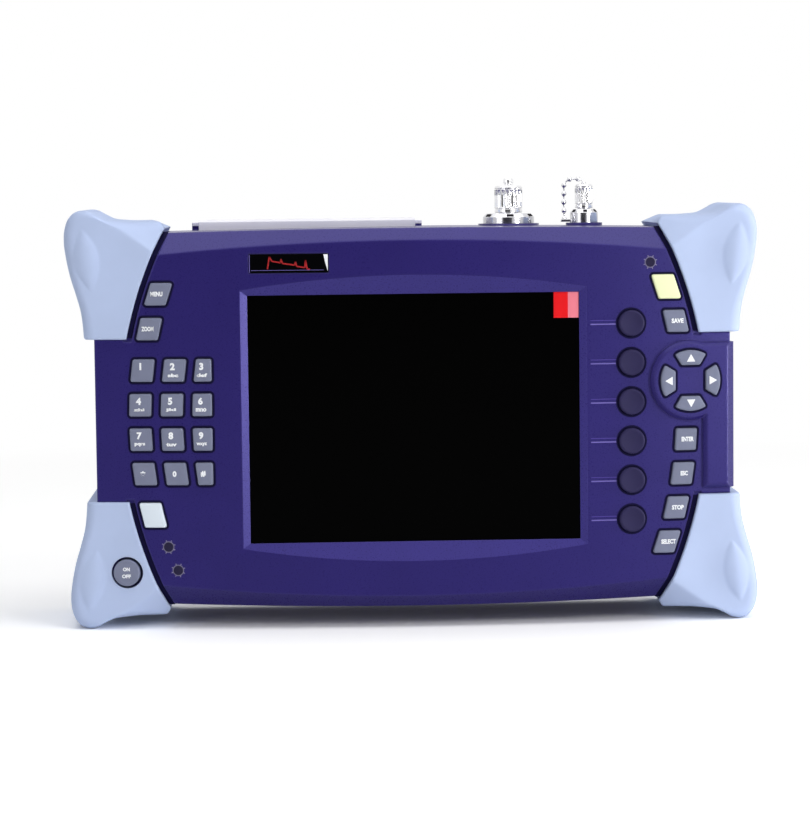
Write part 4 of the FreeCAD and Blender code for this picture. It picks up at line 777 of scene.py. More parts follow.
@dataclass
class KeyField:
    """All keys, and the rings of painted shade round their wells."""

    margin: float = 8.35
    proud: float = 1.1
    pad_names: tuple[tuple[str, ...], ...] = (("1", "2", "3"), ("4", "5", "6"), ("7", "8", "9"),
                                              ("star", "0", "hash"))
    pad_middle: float = -0.55
    pad_pitch: Pair = (12.6, 13.77)
    pad_key: Pair = (8.9, 9.0)
    pad_edge: float = -80.4
    soft_x: float = 86.7
    soft_radius: float = 5.25
    island: Pair = (110.1, 13.4)
    island_rise: float = 2.4
    cursor_reach: Triple = (6.2, 8.9, 12.2)
    cursor_half: float = 31.0
    power_radius: float = 5.35
    well: Pair = (0.2, 1.0)

    def leaning(self, side: int, x: float, height: float, size: Pair,
                edge: float | None = None) -> Array:
        """Four-sided outline whose sides lean as the arc does.

        Args:
            side: -1 left of the middle, 1 right of it.
            x: the key's middle.
            height: the key's middle.
            size: width and height.
            edge: where a straight inner side stands, if there is one.

        Returns:
            Its corners, counter-clockwise.
        """
        slope = -side * height / math.sqrt(ARC_RADIUS ** 2 - height ** 2)
        wide, tall = size[0] / 2, size[1] / 2
        corners = np.array([(x + sx * wide + sz * tall * slope, height + sz * tall)
                            for sx, sz in ((-1, -1), (1, -1), (1, 1), (-1, 1))])
        if edge is not None:
            corners[1:3, 0] = edge
        return corners

    def sector(self, turn: float) -> Array:
        """Cut-off sector of a cursor key: an inner flat, two sides and an outer arc.

        Args:
            turn: its direction in radians, clockwise from the top.

        Returns:
            Its corners.
        """
        half = math.radians(self.cursor_half)
        angle = np.linspace(half, -half, 9)
        near, _, far = self.cursor_reach
        inner = near * math.tan(half)
        points = np.concatenate([[(-inner, near), (inner, near)],
                                 far * np.stack([np.sin(angle), np.cos(angle)], axis=1)])
        return turned(points, turn, self.island)

    def number_keys(self) -> list[Key]:
        """The block of twelve keys in four rows.

        Returns:
            The keys, row by row.
        """
        keys, legends = [], pad_legends()
        for row, names in enumerate(self.pad_names):
            height = self.pad_middle + self.pad_pitch[1] * (1.5 - row)
            for column, name in enumerate(names):
                x = self.margin - arc_x(height) + self.pad_pitch[0] * column
                corners = self.leaning(-1, x, height, self.pad_key,
                                       self.pad_edge if column == 2 else None)
                keys.append(Key(f"key_{name}", x, tuple(corners.mean(axis=0)), corners, self.proud,
                                legends=legends[name]))
        return keys

    def keys(self) -> list[Key]:
        """Every key with its outline, finish and legends.

        Returns:
            The keys, with the power button last.
        """
        keys = self.number_keys()
        for key in SIDE_KEYS:
            x = key.side * (arc_x(key.height) - self.margin)
            keys.append(Key(key.name, x, (x, key.height),
                            self.leaning(key.side, x, key.height, key.size), self.proud,
                            paint=key.paint, slot=key.slot, legends=key.legends()))
        for number in range(SOFT_KEYS):
            place = (self.soft_x, soft_key_height(number))
            keys.append(Key(f"soft_key_{number + 1}", self.soft_x, place,
                            circle(*place, self.soft_radius), 1.6, paint=Paint.SOFT_KEY,
                            slot="dark_key", corner=0.0, edge=0.7, dome=-0.35))
        for name, degrees in (("up", 0.0), ("right", 90.0), ("down", 180.0), ("left", 270.0)):
            turn = math.radians(degrees)
            middle = turned((0.0, self.cursor_reach[1]), turn, self.island)
            keys.append(Key(f"cursor_{name}", self.island[0], tuple(middle), self.sector(turn),
                            self.island_rise + self.proud, base=self.island_rise, corner=0.6,
                            pointer=degrees))
        words = (Legend("ON", 0.0, 1.5, 1.55, 2.8), Legend("OFF", 0.0, -1.3, 1.55, 3.6))
        keys.append(Key("power_button", POWER_BUTTON[0], POWER_BUTTON,
                        circle(*POWER_BUTTON, self.power_radius), 2.2, base=1.5, corner=0.0,
                        edge=0.6, dome=0.2, rim=0.0, legends=words))
        return keys

    def shade_wells(self, keys: list[Key]) -> None:
        """Painted shade round the wells: dark flat rings between two grown outlines of each key.

        Args:
            keys: the keys to go round.
        """
        surface = Surface()
        inner, outer = self.well
        path = ((inner, -0.6), (inner, 0.05), (outer, 0.05), (outer, -0.6))
        for key in keys:
            rings = [FACE.touch(key.x, offset_loop(key.corners, grow, key.corner + grow),
                                key.base + rise) for grow, rise in path]
            surface.grid(np.stack(rings), around=True, along=True)
        finish_piece(surface.build("key_well_shade"), Paint.WELL_SHADE)

    def make(self) -> None:
        """Builds every key and the painted shade round the wells; the power button, the last, has
        none.
        """
        keys = self.keys()
        for key in keys:
            key.make()
        self.shade_wells(keys[:-1])


# ---------------------------------------------------------------- bumpers

@dataclass
class Bumper:
    """A moulded rubber corner bumper.

    Rows run from its inner arc to its outer boundary, matched by their share of each curve's
    length. In each row the section goes round: inner edge, front, outer rounding, side, back. The
    wall behind it is the same section held inside the casing's own box.
    """

    rows: int = 120
    curve_steps: tuple[int, int, int] = (200, 400, 800)
    front_steps: int = 43
    bend_steps: int = 8
    back_steps: int = 6
    end_share: float = 0.012
    row_gap: float = 0.01
    end_round: float = 0.7
    end_draft: float = 6.4
    draft_from: Pair = (-26.0, 60.0)
    draft_rise: float = 2.9
    draft_reach: Pair = (116.0, 17.0)
    lip_round: float = 0.7
    outer_round: float = 4.6
    back_round: float = 3.0
    round_shares: Pair = (0.36, 0.3)
    back_y: float = 34.0
    inner_back_y: float = 31.0
    proud_x: float = 129.4
    proud: float = 1.5
    facet_start: Pair = (101.0, 66.0)
    facet_way: Pair = (13.2, 19.0)
    facet_depth: float = 0.985
    facet_blend: float = 0.5
    dish: Triple = (118.5, 62.0, 0.7)
    dish_spread: float = 90.0
    dish_stretch: float = 0.35
    pad: Pair = (129.3, 64.0)
    pad_size: Pair = (10.4, 25.0)
    pad_rise: float = 1.6
    pad_lean: float = 8.0
    pad_tip: float = 0.001
    seat: float = 1.1
    wall: float = 0.7
    side_wall: float = 1.5
    core: Pair = (124.5, 72.1)
    least_way: float = 0.05
    hole_radius: float = 6.3
    hole_reach: Pair = (-45.0, -8.0)
    crease: float = 50.0
    boundary: tuple[Pair, ...] = (
        (131.3, 32.5), (131.6, 37.0), (132.3, 43.0), (134.2, 50.3), (136.3, 57.3), (137.9, 65.0),
        (138.6, 71.0), (138.2, 76.5), (136.6, 80.6), (134.2, 82.9), (131.2, 83.75), (128.4, 83.3),
        (125.2, 81.6), (121.5, 79.9), (116.5, 79.3), (110.0, 79.1), (104.0, 79.1), (100.6, 79.1),
        (99.3, 79.0))

    def front(self, x: Array, height: Array) -> Array:
        """Depth of the front: a slanted plane, a 45 degree facet along the flat outer edge that
        starts softly at a line, a shallow dish beside the lobe, and the almond pad's rise.

        Args:
            x: distances from the middle, across.
            height: distances from the middle, upwards.

        Returns:
            The depth at each of them.
        """
        slope = math.tan(math.asin(self.proud_x / FACE.crown))
        start = float(FACE.depth(np.array(self.proud_x), np.array(0.0))) - self.proud
        (facet_x, facet_height), (run, climb) = self.facet_start, self.facet_way
        beyond = (climb * (height - facet_height) - run * (x - facet_x)) / math.hypot(climb, run)
        facet = self.facet_depth * 0.5 * (beyond + np.sqrt(beyond ** 2 + self.facet_blend))
        dish_x, dish_height, depth = self.dish
        away = (x - dish_x) ** 2 + self.dish_stretch * (height - dish_height) ** 2
        about = turned(np.stack([x, height], axis=-1) - self.pad, -math.radians(self.pad_lean))
        narrow = np.maximum(1 - (2 * about[..., 1] / self.pad_size[1]) ** 2, self.pad_tip)
        rise = np.clip(narrow - (2 * about[..., 0] / self.pad_size[0]) ** 2 / narrow, 0, 1)
        return (start + slope * (x - self.proud_x) + facet
                + depth * np.exp(-away / self.dish_spread) - self.pad_rise * rise)

    def span(self) -> tuple[Array, Array, Array, Array]:
        """Matches the inner arc to the outer boundary.

        Returns:
            Each row's start, direction and width, and how far the round end pulls it in.
        """
        near, far = self.end_share, 1 - self.end_share
        share = np.concatenate([[0, near / 3, near],
                                np.linspace(near + self.row_gap, far - self.row_gap, self.rows),
                                [far, 1 - near / 3, 1]])
        height = ARC_LOW + (ARC_HIGH - ARC_LOW) * np.linspace(0, 1, self.curve_steps[0])
        start, end = (at_shares(share, np.linspace(0, 1, count), smooth_curve(curve, count))
                      for curve, count in ((np.stack([arc_x(height), height], axis=1),
                                            self.curve_steps[1]),
                                           (np.array(self.boundary), self.curve_steps[2])))
        width = np.linalg.norm(end - start, axis=1)[:, None]
        at_end = np.clip(1 - np.minimum(share, 1 - share) / self.end_share, 0, 1)[:, None]
        inset = self.end_round * (1 - np.sqrt(1 - at_end ** 2))
        return start, (end - start) / width, width, inset

    def section(self) -> Array:
        """Works out the upper right bumper, in millimetres about the middle.

        Returns:
            Its points, rows by columns by 3: the outer section, then the inner one backwards.
        """
        start, along, width, inset = self.span()

        def spot(reach: Array) -> Array:
            """Flat points at a distance from each row's start."""
            return start[:, None] + along[:, None] * reach[..., None]

        level = 0 * width
        bend, back_bend = (np.minimum(size, share * width) for size, share in
                           zip((self.outer_round, self.back_round), self.round_shares))
        quarter = np.linspace(0, math.pi / 2, self.bend_steps + 1)[None]
        rise, fall = np.sin(quarter[:, 1:]), 1 - np.cos(quarter[:, 1:])
        lip = self.lip_round
        out = np.linspace(0, 1, self.front_steps + 1)[None, 1:]
        reach = np.concatenate([level, lip * (1 - np.cos(quarter[:, ::2])) + level,
                                lip + (width - bend - lip) * out, width - bend + bend * rise],
                               axis=1)
        place = spot(reach)
        y = self.front(place[..., 0], place[..., 1]) + inset
        y[:, 1:self.bend_steps // 2 + 2] += lip * (1 - np.sin(quarter[:, ::2]))
        y[:, -self.bend_steps:] += bend * fall
        y[:, :1] = FACE.depth(place[:, :1, 0], place[:, :1, 1]) + self.seat
        down = np.linspace(0, 1, self.bend_steps + 1)[None, 1:]
        home = np.linspace(0, 1, self.back_steps + 1)[None, 1:]
        low = self.back_y - back_bend
        reach = np.concatenate([reach, width + 0 * down, width - back_bend * fall,
                                (width - back_bend) * (1 - home), level], axis=1)
        y = np.concatenate([y, y[:, -1:] + (low - y[:, -1:]) * down, low + back_bend * rise - inset,
                            self.back_y - inset + level * home, level + self.inner_back_y], axis=1)
        reach = np.minimum(reach, width - inset)
        free = (np.array(self.core) - start) / np.maximum(along, self.least_way)
        held = np.minimum(reach, np.clip(free.min(axis=1, keepdims=True), 0,
                                         width - self.side_wall))
        below = spot(held)
        under = np.maximum(FACE.depth(below[..., 0], below[..., 1]) + self.seat, y + self.wall)
        reach = np.concatenate([reach, held[:, ::-1]], axis=1)
        y = np.concatenate([y, np.minimum(under, self.inner_back_y)[:, ::-1]], axis=1)
        place = spot(reach)
        (back, depth), (far, run) = self.draft_from, self.draft_reach
        place[..., 0] += (self.end_draft * np.clip((y - back) / depth, 0, 1)
                          * np.clip((place[..., 1] - ARC_HIGH) / self.draft_rise, 0, 1)
                          * np.clip((far - place[..., 0]) / run, 0, 1))
        return np.stack([place[..., 0], y, place[..., 1]], axis=-1)

    def make(self) -> None:
        """Builds the four bumpers, each a mirrored copy of the section."""
        points = self.section()
        half = points.shape[1] // 2
        for side, sx in (("right", 1), ("left", -1)):
            for level, sz in (("top", 1), ("bottom", -1)):
                placed = (points * (sx, 1, sz) + (0, 0, MIDDLE)) * MM
                surface = Surface().grid(placed, around=True)
                for row in (0, -1):
                    surface.grid(np.stack([placed[row, :half], placed[row, :half - 1:-1]]))
                name = f"bumper_{level}_{side}"
                piece = surface.build(f"{name}_rubber", crease=self.crease)
                if name == "bumper_bottom_left":
                    self.drill(piece)
                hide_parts(name)
                finish_piece(piece, Paint.BUMPER)

    def drill(self, piece: bpy.types.Object) -> None:
        """Cuts the power button's hole through the front of a bumper.

        Args:
            piece: the bumper.
        """
        ring = circle(*POWER_BUTTON, self.hole_radius, 72)
        ends = [np.insert(ring + (0, MIDDLE), 1, y, axis=1) * MM for y in self.hole_reach]
        cutter = Surface().skin(np.stack(ends)).build("drill")
        cut = piece.modifiers.new("hole", "BOOLEAN")
        cut.object = cutter
        cut.solver = "EXACT"
        bpy.context.view_layer.update()
        whole = piece.evaluated_get(bpy.context.evaluated_depsgraph_get())
        mesh = bpy.data.meshes.new_from_object(whole)
        piece.modifiers.clear()
        piece.data = mesh
        mesh.set_sharp_from_angle(angle=math.radians(self.crease))
        bpy.data.objects.remove(cutter)


# ---------------------------------------------------------------- prints and small trim

@dataclass
class WindowFrame:
    """The four slopes that lead from the casing's face down to the glass, with mitred corners.

    Its profile goes round the window: where the slope meets the crowned face, down to the lip, down
    the lip to the glass, and back underneath.
    """

    half: Pair = (66.0, 49.5)
    spread: Pair = (2.9, 7.5)
    steps: tuple[int, int] = (40, 8)
    floor: float = -30.4
    glass: float = -29.83
    proud: float = 0.06
    thick: float = 0.3

    def make(self) -> None:
        """Builds the frame from its inner and outer outlines, one column each step round."""
        wide, tall = self.half
        across, up = (np.linspace(-1, 1, count + 1)[:-1] for count in self.steps)
        inner = np.concatenate([np.stack([wide * across, -tall + 0 * across], axis=1),
                                np.stack([wide + 0 * up, tall * up], axis=1),
                                np.stack([-wide * across, tall + 0 * across], axis=1),
                                np.stack([-wide + 0 * up, -tall * up], axis=1)])
        edge_x = (wide + self.spread[0]) * inner[:, 0] / wide
        drop = self.floor - FACE.depth(edge_x, 0 * edge_x)
        rise = self.spread[1] * drop / (self.floor - FACE.front)
        edge_h = inner[:, 1] * (1 + rise / tall)
        out = np.sign(inner) * (np.abs(inner) > np.array(self.half) - 1e-6)
        lip, under = (inner - out * self.proud).T, (inner + out * self.thick).T
        rings = [(edge_x, self.floor - drop, edge_h), (lip[0], self.floor - self.proud, lip[1]),
                 (lip[0], self.glass, lip[1]), (under[0], self.glass, under[1]),
                 (edge_x, self.floor - drop + self.thick, edge_h)]
        points = np.stack([np.stack([x, y + 0 * x, h + MIDDLE], axis=1) for x, y, h in rings]) * MM
        slopes = Surface().grid(points, around=True, along=True)
        # The slopes' finish is the casing's purple made lighter: painted light.
        finish_piece(slopes.build("window_slopes", crease=15), Paint.LIT_SLOPE)


@dataclass
class FaceTrim:
    """Painted shade in the grooves, painted highlights along the soft keys' leads and the marks of
    the indicator lights.
    """

    groove: Pair = (162.0, 164.0)
    groove_span: Pair = (33.0, 75.0)
    groove_floor: float = 0.85
    groove_sag: float = 0.4
    lead: Pair = (70.3, 80.7)
    lead_halves: Pair = (0.27, 0.14)
    lead_drop: float = 0.3
    lead_gap: float = 1.5
    lights: tuple[Pair, ...] = ((94.6, 60.8), (-98.7, -50.5), (-95.0, -59.9))
    mark: tuple[Pair, ...] = ((1.95, -0.1), (1.95, 0.06), (2.25, 0.06), (2.25, -0.1))
    ray: tuple[Pair, ...] = ((2.2, -0.2), (2.9, -0.2), (2.9, 0.2), (2.2, 0.2))
    rays: int = 8
    ray_start: float = 20.0

    def groove_shade(self) -> None:
        """Painted shade: four soft dark strips, sunk into the groove; radius and height give each
        point on the face.
        """
        surface = Surface()
        height = np.linspace(*self.groove_span, 60)[:, None]
        x = arc_x(height, np.repeat(self.groove, 2)[None])
        sink = np.array([self.groove_sag, 0.0, 0.0, self.groove_sag]) + self.groove_floor
        for sx in (1, -1):
            for sz in (1, -1):
                rings = np.stack([sx * x, FACE.depth(x, height) + sink,
                                  sz * height + MIDDLE + 0 * x], axis=-1) * MM
                surface.grid(rings, around=True)
                for end in (0, -1):
                    surface.grid(np.stack([rings[end, :2], rings[end, :1:-1]]))
        finish_piece(surface.build("groove_shade"), Paint.WELL_SHADE)

    def lines(self) -> None:
        """Painted highlights on the edges of the shallow leads from the window to the soft keys: a
        lit line with a fainter one above it.
        """
        strong, faint = Surface(), Surface()
        left, right = self.lead
        for number in range(SOFT_KEYS):
            height = soft_key_height(number) - self.lead_drop
            for surface, level, half in ((strong, height, self.lead_halves[0]),
                                         (faint, height + self.lead_gap, self.lead_halves[1])):
                loop = np.array([(left, level - half), (right, level - half), (right, level + half),
                                 (left, level + half)])
                lay_slab(surface, (left + right) / 2, offset_loop(loop, 0, 0.05, 2), *CASING_PRINT_AND_HIGHLIGHT)
        finish_piece(strong.build("soft_key_lead_highlights"), Paint.LINE)
        finish_piece(faint.build("soft_key_lead_highlights_faint"), Paint.FAINT_HIGHLIGHT)

    def marks(self) -> None:
        """Short rays in a ring around each indicator light."""
        surface = Surface()
        for x, height in self.lights:
            rings = [FACE.touch(x, circle(x, height, radius), rise) for radius, rise in self.mark]
            surface.grid(np.stack(rings), around=True, along=True)
            for angle in np.radians(np.arange(self.rays) * 360 / self.rays + self.ray_start):
                ray = turned(self.ray, -angle, (x, height))
                lay_slab(surface, x, offset_loop(ray, 0, 0.08, 2), *CASING_PRINT_AND_HIGHLIGHT)
        finish_piece(surface.build("indicator_marks"), Paint.MARK)

    def make(self) -> None:
        """Builds all of it."""
        self.groove_shade()
        self.lines()
        self.marks()


@dataclass
class NamePlate:
    """What shows on the gloss plate: a printed decaying trace, thin painted highlights along two
    edges and a painted slanted glint.

    All places are measured from the plate's middle.
    """

    middle: Pair = (-49.25, 62.1)
    half: Pair = (15.65, 3.7)
    print_and_highlight_y: Pair = (0.1, 0.38)
    trace: tuple[Pair, ...] = (
        (-8.4, -2.2), (-7.6, 2.6), (-6.6, 0.9), (-3.2, 0.3), (-3.0, 1.7), (-2.4, 0.0), (2.4, -0.7),
        (2.7, 0.6), (3.2, -1.2), (6.4, -1.7), (6.7, 1.2), (7.3, -2.3), (8.4, -2.4))
    edges: tuple[tuple[float, tuple[Pair, ...]], ...] = (
        (0.1, ((-15.5, -3.5), (-15.5, 3.5))), (0.07, ((-14.85, -2.7), (13.85, -2.7))))
    glint: tuple[Pair, ...] = ((14.35, 0.7), (15.5, -3.4), (15.5, 3.5), (13.75, 3.5))

    def patch(self, surface: Surface, loop: object, grow: float) -> None:
        """Lays a thin slab of any outline on the plate, grown by a distance."""
        loop = offset_loop(np.array(loop) + self.middle, grow, 0.05, 2)
        lay_slab(surface, self.middle[0], loop, *self.print_and_highlight_y)

    def stroke(self, surface: Surface, line: tuple[Pair, ...], half: float) -> None:
        """A thin slab along each run of a line.

        Args:
            surface: where it is gathered.
            line: corners of the line.
            half: half its width.
        """
        for start, end in zip(line, line[1:]):
            way = np.array(end) - start
            side = np.array((way[1], -way[0])) / np.linalg.norm(way) * half
            self.patch(surface, [start + side, end + side, end - side, start - side], 0.02)

    def make(self) -> None:
        """Builds the trace, the painted edge highlights and the painted glint."""
        trace, edge, glint = Surface(), Surface(), Surface()
        self.stroke(trace, self.trace, 0.26)
        for half, line in self.edges:
            self.stroke(edge, line, half)
        self.patch(glint, self.glint, 0.0)
        finish_piece(trace.build("plate_trace"), Paint.TRACE)
        finish_piece(edge.build("plate_edge_highlight"), Paint.LINE)
        # The glint is a painted highlight in the white print finish.
        finish_piece(glint.build("plate_glint"), Paint.PRINT)


# ---------------------------------------------------------------- ports, caps and chain

def rounding(radius: float, level: float, size: float) -> list[Triple]:
    """Quarter round of a turned profile, from its side to its top, without flutes."""
    return [(radius - size * (1 - math.cos(angle)), level - size * (1 - math.sin(angle)), 0)
            for angle in np.linspace(0, math.pi / 2, 5)]


@dataclass
class FibreCap:
    """A plated screw cap: a profile turned about its axis, with flutes round the skirt.

    The profile's points are offsets from the radius and from the foot, the top or the knob's foot,
    with the share of the flutes' depth. The skirt's radius is reduced by a share of the square of a
    sine, which gives round-bottomed flutes.
    """

    name: str
    body: str
    x: float
    flange: float
    radius: float
    height: float
    bore: float
    knob: float = 0.0
    knob_height: float = 0.0
    flutes: int = 20
    flute_depth: float = 0.07
    columns: int = 160
    clearance: float = 0.3
    roof: float = 7.8
    foot_points: tuple[Triple, ...] = (
        (-0.3, 0.0, 0), (0.0, 0.3, 0), (0.0, 1.3, 0), (-0.35, 1.45, 0), (-0.35, 1.8, 0),
        (0.0, 2.0, 0.2), (0.0, 2.3, 1))
    skirt: Pair = (2.6, -1.9)
    top_points: tuple[Triple, ...] = ((0.0, -1.6, 0.2), (-0.3, -1.45, 0), (-0.3, -1.2, 0),
                                      (0.0, -1.0, 0))
    neck: Triple = (0.8, 0.35, 0.9)
    neck_foot: float = 0.5
    neck_top: float = 1.2
    round_top: float = 0.9
    round_knob: float = 0.8

    def profile(self) -> list[Triple]:
        """Lists the profile from the bore outwards and up to the top.

        Returns:
            Radius, level and share of the flutes at each point.
        """
        low, roof, top = (self.flange + level for level in (self.clearance, self.roof, self.height))
        r, k, crest = self.radius, self.knob, top + self.knob_height
        points = [(0, roof, 0), (self.bore, roof, 0), (self.bore, low, 0)]
        points += [(r + out, low + up, share) for out, up, share in self.foot_points]
        skirt = np.linspace(low + self.skirt[0], top + self.skirt[1], 4)
        points += [(r, level, 1) for level in skirt]
        points += [(r + out, top + up, share) for out, up, share in self.top_points]
        points += rounding(r, top, self.round_top)
        if k:
            share, start, end = self.neck
            points += [(k + self.neck_foot, top, 0), (k * share, top + start, 0),
                       (k * share, top + end, 0), (k, top + self.neck_top, 0)]
            points += rounding(k, crest, self.round_knob)
        return points + [(0, crest, 0)]

    def make(self) -> None:
        """Builds the cap as a grid of its profile by the steps round its axis."""
        radius, level, fluted = np.array(self.profile()).T[:, :, None]
        angle = np.linspace(0, 2 * math.pi, self.columns, endpoint=False)[None]
        radius = radius * (1 - self.flute_depth * fluted * np.sin(angle * self.flutes / 2) ** 2)
        points = np.stack([self.x + radius * np.cos(angle), PORT_Y + radius * np.sin(angle),
                           level + MIDDLE + PORT_SEAT + 0 * angle], axis=-1) * MM
        piece = Surface().grid(points, around=True).build(f"{self.name}_turned", crease=40)
        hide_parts(self.name)
        finish_piece(piece, Paint.CHROME, self.body)


@dataclass
class FlangeSlotShade:
    """Painted shade of the spanner slots: dark blocks on the sloping shoulder of a port's flange.
    """

    name: str
    x: float
    radius: float
    height: float
    width: float
    count: int = 6
    bevel: float = 1.4
    lifts: Pair = (-0.4, 0.06)

    def make(self) -> None:
        """Builds each slot as a shallow block across the bevel, turned about the port's axis."""
        surface = Surface()
        corners = np.array([(-0.5, -0.45), (0.5, -0.45), (0.5, 0.45), (-0.5, 0.45)])
        across, up = offset_loop(corners * (self.width, self.bevel * 1.1), 0, 0.2, 4).T
        slope = math.sqrt(0.5)
        for angle in np.radians(np.arange(self.count) * 360 / self.count - 90):
            rings = []
            for lift in self.lifts:
                radial = self.radius - self.bevel / 2 + (lift - up) * slope
                level = self.height - self.bevel / 2 + (lift + up) * slope
                rings.append(np.stack([self.x + radial * math.cos(angle) - across * math.sin(angle),
                                       PORT_Y + radial * math.sin(angle) + across * math.cos(angle),
                                       level + PORT_SEAT + MIDDLE], axis=1) * MM)
            surface.skin(np.stack(rings))
        finish_piece(surface.build(self.name), Paint.SLOT_SHADE)


@dataclass
class BeadChain:
    """The ball chain of the narrow cap: one profile of beads and links carried along a smooth path.

    The radius at a distance along the path is that of a ball where the distance to the nearest
    bead is less than the ball's radius, and otherwise that of the link.
    """

    path: tuple[Pair, ...] = ((72.5, 92.1), (71.8, 93.7), (69.6, 94.1), (66.4, 93.9), (64.6, 92.4),
                              (64.3, 89.0), (64.35, 77.7))
    bead: float = 1.05
    link: float = 0.3
    pitch: float = 3.3
    steps: int = 12

    def make(self) -> None:
        """Builds the chain along its path from the port's lug to the cap."""
        line = smooth_curve(np.array(self.path), 400)
        length = lengths(line)
        count = round(length[-1] / self.pitch)
        pitch = length[-1] / count
        place = np.linspace(0, length[-1], count * self.steps + 1)
        away = np.abs((place + pitch / 2) % pitch - pitch / 2)
        ball = np.sqrt(np.maximum(self.bead ** 2 - away ** 2, 0))
        radius = np.maximum(ball, self.link)[:, None]
        centre = at_shares(place, length, line)
        way = np.gradient(centre, axis=0)
        way /= np.linalg.norm(way, axis=1)[:, None]
        angle = np.linspace(0, 2 * math.pi, self.steps, endpoint=False)[None]
        side = radius * np.cos(angle)
        points = np.stack([centre[:, :1] - way[:, 1:] * side, PORT_Y + radius * np.sin(angle),
                           centre[:, 1:] + way[:, :1] * side + MIDDLE], axis=-1) * MM
        piece = Surface().skin(points).build("ball_chain", crease=80)
        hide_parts("cap_chain")
        piece.data.materials.append(Paint.PLATED.value.material())
        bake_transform(piece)
        log.info("ball_chain stretches from instrument to narrow_cap")


# ---------------------------------------------------------------- studio

@dataclass(frozen=True)
class Lamp:
    """A soft rectangular light that faces the instrument; metres and watts."""

    name: str
    place: Triple
    size: Pair
    power: float
    aim: Triple = (0.0, 0.0, 0.08)

    def make(self) -> None:
        """Hangs the lamp in its place."""
        data = bpy.data.lights.new(self.name, "AREA")
        data.shape = "RECTANGLE"
        data.size, data.size_y = self.size
        data.energy = self.power
        back = np.array(self.place) - self.aim
        back /= np.linalg.norm(back)
        right = np.cross((0.0, 1.0, 0.0) if abs(back[2]) > 0.95 else (0.0, 0.0, 1.0), back)
        right /= np.linalg.norm(right)
        hang(self.name, data, (right, np.cross(back, right), back), self.place)


def hang(name: str, data: bpy.types.ID, axes: tuple[Array, Array, Array], place: object,
         ) -> bpy.types.Object:
    """Adds a lamp or a camera that looks back along its last axis.

    Args:
        name: its name.
        data: its light or camera.
        axes: its right, up and back directions.
        place: where it hangs.

    Returns:
        The new object.
    """
    matrix = np.eye(4)
    matrix[:3] = np.stack([*axes, place], axis=1)
    holder = bpy.data.objects.new(name, data)
    bpy.context.scene.collection.objects.link(holder)
    holder.matrix_world = Matrix(matrix.tolist())
    return holder


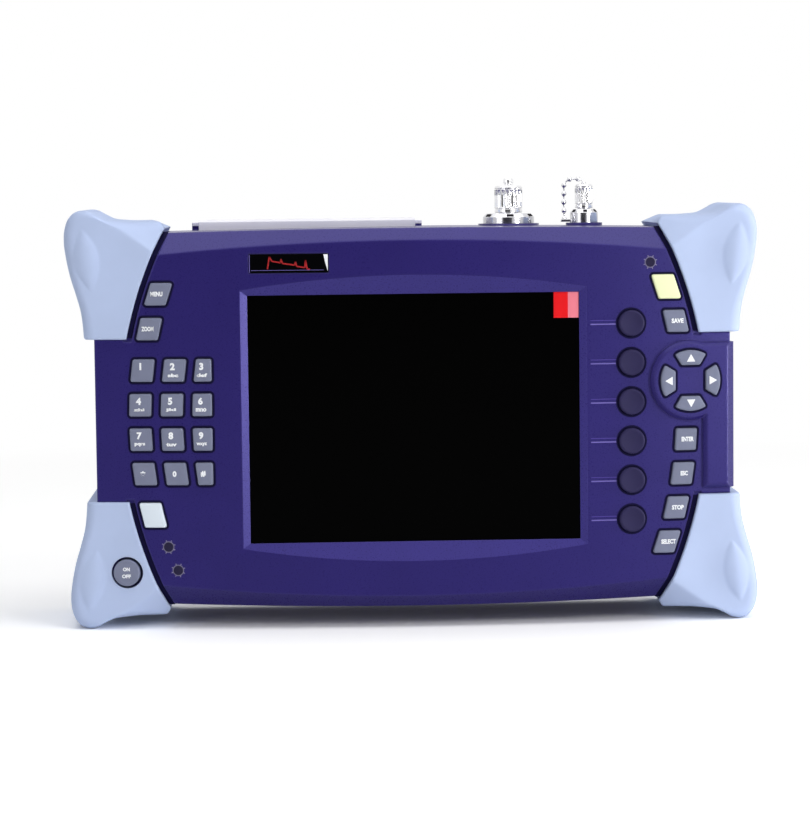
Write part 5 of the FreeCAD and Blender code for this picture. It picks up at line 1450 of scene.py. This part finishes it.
@dataclass
class Studio:
    """Pale floor, soft light and the camera; metres."""

    distance: float = 1.1
    elevation: float = 4.584
    azimuth: float = -1.991
    roll: float = -0.639
    lens: float = 122.78
    target: Triple = (-0.003924, -0.034, 0.088672)
    ambient: float = 0.38
    ambient_behind: float = 0.1
    horizon: Pair = (-0.1, 0.4)
    floor_reach: float = 6.0
    floor_shade: float = 0.94
    floor_seen: float = 1.3
    floor_fade: Pair = (0.35, 0.8)
    card_x: Pair = (-1.3, 0.5)
    card_y: float = -2.2
    card_z: Pair = (-0.1, 0.9)
    card_shade: float = 0.08
    lamps: tuple[Lamp, ...] = (
        Lamp("overhead", (0.1, -0.15, 1.5), (1.8, 1.2), 12.5),
        Lamp("key_light", (1.1, -1.2, 1.0), (0.7, 0.7), 6.5),
        Lamp("slope_light", (1.0, -1.35, 0.07), (0.4, 0.12), 5.0),
        Lamp("side_light", (1.5, -0.1, 0.08), (0.4, 0.14), 11.0),
        Lamp("back_light", (-0.2, 0.8, 1.7), (1.2, 0.6), 3.0),
        Lamp("fill_light", (-1.3, -1.3, 0.5), (0.8, 0.8), 3.0))

    def camera(self) -> None:
        """Aims the camera at the target, turned by azimuth, elevation and roll."""
        a, e, roll = (math.radians(v) for v in (self.azimuth, self.elevation, self.roll))
        back = np.array([math.sin(a) * math.cos(e), -math.cos(a) * math.cos(e), math.sin(e)])
        right = np.array([math.cos(a), math.sin(a), 0.0])
        up = np.cross(back, right)
        data = bpy.data.cameras.new("camera")
        data.lens = self.lens
        data.sensor_width = 36.0
        data.clip_start = 0.05
        bpy.context.scene.camera = hang(
            "camera", data, (right * math.cos(roll) + up * math.sin(roll),
                             up * math.cos(roll) - right * math.sin(roll), back),
            np.array(self.target) + back * self.distance)

    def surroundings(self) -> None:
        """White background for the camera and for gloss, a plain level of light for the rest."""
        world = bpy.data.worlds.new("studio")
        bpy.context.scene.world = world
        nodes = Nodes(world)
        rays = nodes.add("ShaderNodeLightPath").outputs
        seen = nodes.combine("MAXIMUM", rays["Is Camera Ray"], rays["Is Glossy Ray"])
        seen = nodes.combine("MAXIMUM", seen, rays["Is Transmission Ray"])
        way = nodes.add("ShaderNodeTexCoord").outputs["Generated"]
        depth = nodes.add("ShaderNodeSeparateXYZ", {0: way}).outputs["Y"]
        level = nodes.spread(depth, self.ambient, self.ambient_behind, *self.horizon)
        strength = nodes.spread(seen, level, 1.0, 0.0, 1.0)
        background = nodes.add("ShaderNodeBackground", {"Color": (1.0, 1.0, 1.0, 1.0),
                                                        "Strength": strength})
        nodes.add("ShaderNodeOutputWorld", {"Surface": background.outputs[0]})

    def panel(self, name: str, corners: list[Triple], shade: float, fade: Pair | None = None,
              ) -> bpy.types.Object:
        """A flat sheet of the studio.

        Args:
            name: its name.
            corners: its four corners, in two rows.
            shade: how light its colour is.
            fade: distances between which the camera sees it turn to plain white, if it does.

        Returns:
            The sheet.
        """
        sheet = Surface().grid(np.array(corners, dtype=float).reshape(2, 2, 3)).build(name)
        material = bpy.data.materials.new(name)
        nodes = Nodes(material)
        colour = (shade, shade, shade, 1.0)
        if fade:
            seen = nodes.add("ShaderNodeLightPath").outputs["Is Camera Ray"]
            colour = nodes.mix(seen, colour, (*[self.floor_seen] * 3, 1.0))
        shader = nodes.add("ShaderNodeBsdfDiffuse", {"Color": colour}).outputs[0]
        if fade:
            place = nodes.add("ShaderNodeTexCoord").outputs["Object"]
            away = nodes.add("ShaderNodeVectorMath", {0: place},
                             operation="LENGTH").outputs["Value"]
            share = nodes.combine("MULTIPLY", nodes.spread(away, 0.0, 1.0, *fade), seen)
            white = nodes.add("ShaderNodeEmission", {"Strength": 1.0}).outputs[0]
            shader = nodes.add("ShaderNodeMixShader", {0: share, 1: shader, 2: white}).outputs[0]
        nodes.add("ShaderNodeOutputMaterial", {"Surface": shader})
        sheet.data.materials.append(material)
        return sheet

    def make(self) -> None:
        """Builds the studio."""
        bpy.context.scene.view_settings.view_transform = "Standard"
        self.camera()
        self.surroundings()
        far = self.floor_reach
        self.panel("floor", [(-far, -far, 0), (far, -far, 0), (-far, far, 0), (far, far, 0)],
                   self.floor_shade, fade=self.floor_fade)
        corners = [(x, self.card_y, z) for z in self.card_z for x in self.card_x]
        card = self.panel("dark_card", corners, self.card_shade)
        card.visible_camera = card.visible_diffuse = card.visible_shadow = False
        card.visible_transmission = False
        for lamp in self.lamps:
            lamp.make()


# ---------------------------------------------------------------- assembly

def dress_frame() -> None:
    """Gives every carried-over node the finish of its slot in the record."""
    slots = {part["node"]: part["material_slot"] for part in frame["record"]["subparts"]}
    for name, node in frame["nodes"].items():
        paint = Paint.REAR if name == "rear_housing" else SLOT_PAINT[slots[name]]
        material = paint.value.material()
        for holder in node.material_slots:
            holder.material = material


def main() -> None:
    """Builds the studio and every piece."""
    logging.basicConfig(level=logging.INFO, format="%(message)s")
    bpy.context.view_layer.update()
    Studio().make()
    dress_frame()
    for piece in (
            Bumper(), KeyField(), WindowFrame(), FaceTrim(), NamePlate(),
            FibreCap("wide_port_cap", "wide_cap", WIDE_PORT_X, flange=4.1, radius=5.75, height=11.4,
                     bore=4.3, knob=2.1, knob_height=3.0),
            FibreCap("narrow_port_cap", "narrow_cap", NARROW_PORT_X, flange=5.6, radius=3.7,
                     height=10.2, bore=2.9, flutes=16),
            FlangeSlotShade("wide_flange_slot_shade", WIDE_PORT_X, radius=10.6, height=4.1, width=3.0),
            FlangeSlotShade("narrow_flange_slot_shade", NARROW_PORT_X, radius=5.75, height=5.6, width=1.7),
            BeadChain()):
        piece.make()


if __name__ == "__main__":
    main()
